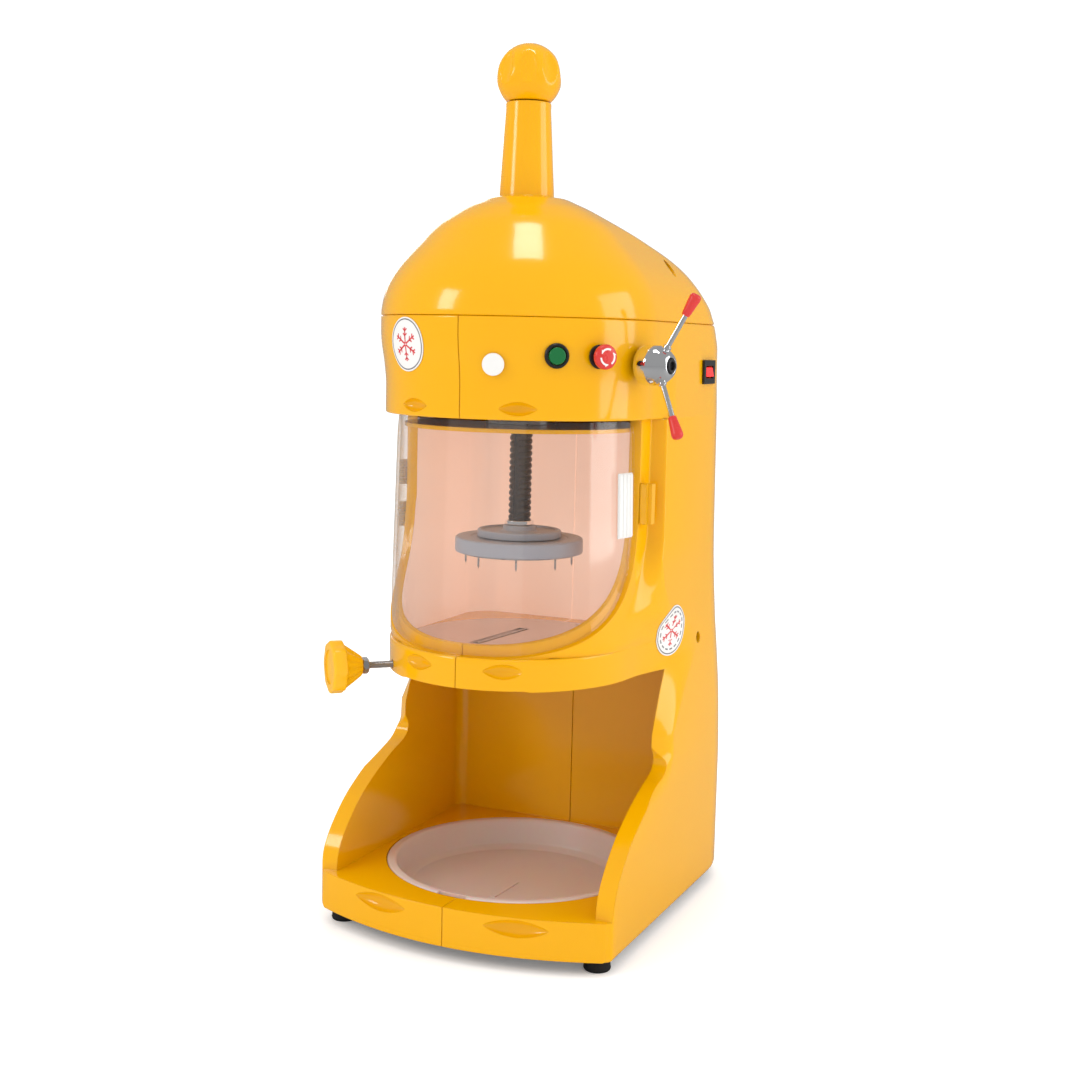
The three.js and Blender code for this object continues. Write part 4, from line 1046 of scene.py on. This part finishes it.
def strip(point, direction, u0, v0, u1, v1, width, lift, thick):
    along = Vector((u1 - u0, v1 - v0))
    side = Vector((-along.y, along.x)).normalized() * width / 2
    loops = []
    for k in range(7):
        t = k / 6
        u, v = u0 + along.x * t, v0 + along.y * t
        loops.append([on_skin(point, direction, u + side.x * s, v + side.y * s, lift + h)
                      for s, h in ((-1, 0), (1, 0), (1, thick), (-1, thick))])
    return loft(loops)


def snowflake(point, direction, size, width, lift):
    """Plain six-armed snowflake."""
    parts = []
    for k in range(6):
        a = TURN * k / 6 + TURN / 12
        c, s = cos(a), sin(a)
        parts.append(strip(point, direction, c * size * 0.05, s * size * 0.05, c * size, s * size, width,
                           lift, 0.12))
        for share in (0.5, 0.78):
            for turn in (1, -1):
                b = a + turn * radians(52)
                parts.append(strip(point, direction, c * size * share, s * size * share,
                                   c * size * share + cos(b) * size * 0.24,
                                   s * size * share + sin(b) * size * 0.24, width * 0.8, lift, 0.12))
    return joined(*parts)


front_lo, front_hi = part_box("front_badge")
side_lo, side_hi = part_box("side_badge")
front_at = ((front_lo + front_hi) / 2 - ORIGIN) / MM
side_at = ((side_lo + side_hi) / 2 - ORIGIN) / MM
for tag, at, direction, radius in (("front", front_at, plan(-26.6), 25.5), ("side", side_at, plan(77), 26.5)):
    levels = [circle(radius * s) for s in (0.02, 0.25, 0.5, 0.75, 0.93, 1.0)]
    disc_skin = sticker(at, direction, levels, 0.2, 0.7)
    piece(tag + "_badge_plate", disc_skin, "machine", "white_plastic", [tag + "_badge"], angle=40)
    piece(tag + "_badge_ring", band(at, direction, radius * 0.9, radius * 0.945, 0.86, 0.12), "machine",
          "print_grey")
    piece(tag + "_badge_flake", snowflake(at, direction, radius * 0.62, 1.7, 0.86), "machine", "print_red")
    if tag == "side":
        dashes = [band(at, direction, radius * 0.72, radius * 0.78, 0.86, 0.12, TURN * k / 16,
                       TURN * (k + 0.6) / 16, 5)
                  for k in range(16)]
        piece("side_badge_dashes", joined(*dashes), "machine", "print_grey")


# ---------------------------------------------------------------- CAD pieces that stay, with softened edges
KEPT = {
    "base_plate": "steel", "blade": "steel", "blade_clamp": "steel", "blade_screw_front": "blackened_steel",
    "blade_screw_rear": "blackened_steel", "blade_carriage": "steel", "latch_block": "body_yellow",
    "cover_switch": "black_plastic", "spike_plate": "steel", "ceiling_plate": "body_yellow",
    "spindle_bearing": "steel", "drive_pulley": "steel", "feed_gear": "bronze", "bevel_pinion": "steel",
    "crank_shaft": "steel", "motor": "motor_grey", "motor_shaft": "steel", "motor_pulley": "steel",
    "drive_belt": "black_rubber", "motor_bracket": "steel", "capacitor": "motor_grey",
}
for name, material in KEPT.items():
    obj = nodes[name]
    for slot in obj.material_slots:
        slot.material = MATERIALS[material]
    if name in ("latch_block", "cover_switch", "blade_clamp", "blade_screw_front", "blade_screw_rear",
                "capacitor"):
        edge = obj.modifiers.new("edge", "BEVEL")
        edge.width = (1.1 if name == "latch_block" else 0.3) * MM
        edge.segments = 3
        edge.limit_method = "ANGLE"

for guide in (skin, hood_skin):
    bpy.data.objects.remove(guide)


# ---------------------------------------------------------------- floor, light, camera
def plain(name, color, rough):
    return finish_of(name, color, rough, vary=0.005, rough_vary=0.02, scale=3)


def sheet(name, corners, material):
    mesh = bpy.data.meshes.new(name)
    mesh.from_pydata(corners, [], [tuple(range(len(corners)))])
    obj = bpy.data.objects.new(name, mesh)
    scene.collection.objects.link(obj)
    mesh.materials.append(material)
    return obj


white = plain("studio_white", srgb(254, 254, 254), 0.9)
white.node_tree.nodes["Principled BSDF"].inputs["Specular IOR Level"].default_value = 0.0
white.node_tree.nodes["Principled BSDF"].inputs["Emission Color"].default_value = (1, 1, 1, 1)
white.node_tree.nodes["Principled BSDF"].inputs["Emission Strength"].default_value = 0.12
tree = white.node_tree
dim = add(tree, "ShaderNodeBsdfDiffuse")
dim.inputs["Color"].default_value = (0.3, 0.3, 0.3, 1)
ray = add(tree, "ShaderNodeLightPath")
choose = add(tree, "ShaderNodeMixShader")
tree.links.new(ray.outputs["Is Glossy Ray"], choose.inputs["Fac"])
tree.links.new(tree.nodes["Principled BSDF"].outputs["BSDF"], choose.inputs[1])
tree.links.new(dim.outputs["BSDF"], choose.inputs[2])
tree.links.new(choose.outputs["Shader"], tree.nodes["Material Output"].inputs["Surface"])
sheet("floor", [(-30, -30, 0), (30, -30, 0), (30, 30, 0), (-30, 30, 0)], white)


def area(name, at, target, width, height, power, color=(1, 1, 1)):
    lamp = bpy.data.lights.new(name, "AREA")
    lamp.shape = "RECTANGLE"
    lamp.size, lamp.size_y = width, height
    lamp.energy = power
    lamp.color = color
    obj = bpy.data.objects.new(name, lamp)
    obj.location = at
    obj.rotation_euler = (Vector(target) - Vector(at)).to_track_quat("-Z", "Y").to_euler()
    scene.collection.objects.link(obj)
    return obj


MIDDLE = (0, 0, 0.45)
area("key_left", (-1.25, -1.6, 1.35), MIDDLE, 0.5, 0.7, 7, (1, 0.985, 0.97))
area("key_right", (2.0, 0.5, 0.9), MIDDLE, 1.2, 1.5, 12)
area("top", (0.1, -0.2, 2.4), MIDDLE, 0.5, 0.5, 6)
area("rear", (-1.4, 1.9, 1.3), MIDDLE, 0.9, 1.0, 6)
only_cover = bpy.data.collections.new("cover_light")
only_cover.objects.link(cover)
for name, degrees, width in (("veil_left", -8, 3.2), ("veil_right", 118, 2.4)):
    at = Vector(plan(degrees)) * 2.2 + Vector((0, 0, 0.5))
    panel = area(name, at, (0, 0, 0.42), width, 1.6, 1.5 * width * 1.6, (1, 0.965, 0.95))
    panel.light_linking.receiver_collection = only_cover

world = bpy.data.worlds.new("studio")
scene.world = world
world.use_nodes = True
sky = world.node_tree
sky.nodes["Background"].inputs["Color"].default_value = (1, 1, 1, 1)
path = add(sky, "ShaderNodeLightPath")
level = add(sky, "ShaderNodeMapRange")
level.inputs["To Min"].default_value = 1.1
level.inputs["To Max"].default_value = 0.35
sky.links.new(path.outputs["Is Glossy Ray"], level.inputs["Value"])
sky.links.new(level.outputs["Result"], sky.nodes["Background"].inputs["Strength"])
scene.view_settings.view_transform = "Standard"
scene.view_settings.look = "None"
scene.view_settings.exposure = 0.0

camera_data = bpy.data.cameras.new("camera")
camera_data.lens = 51.13
camera_data.sensor_width = 36
camera = bpy.data.objects.new("camera", camera_data)
scene.collection.objects.link(camera)
scene.camera = camera
az, pitch, roll = (radians(v) for v in (24.34, 7.22, 1.35))
F = Vector((-sin(az) * cos(pitch), cos(az) * cos(pitch), -sin(pitch)))
R = Vector((cos(az), sin(az), 0))
U = R.cross(F)
R2 = R * cos(roll) + U * sin(roll)
U2 = U * cos(roll) - R * sin(roll)
turn = Matrix((R2, U2, -F)).transposed().to_4x4()
camera.matrix_world = Matrix.Translation((0.63975, -1.46187, 0.587)) @ turn
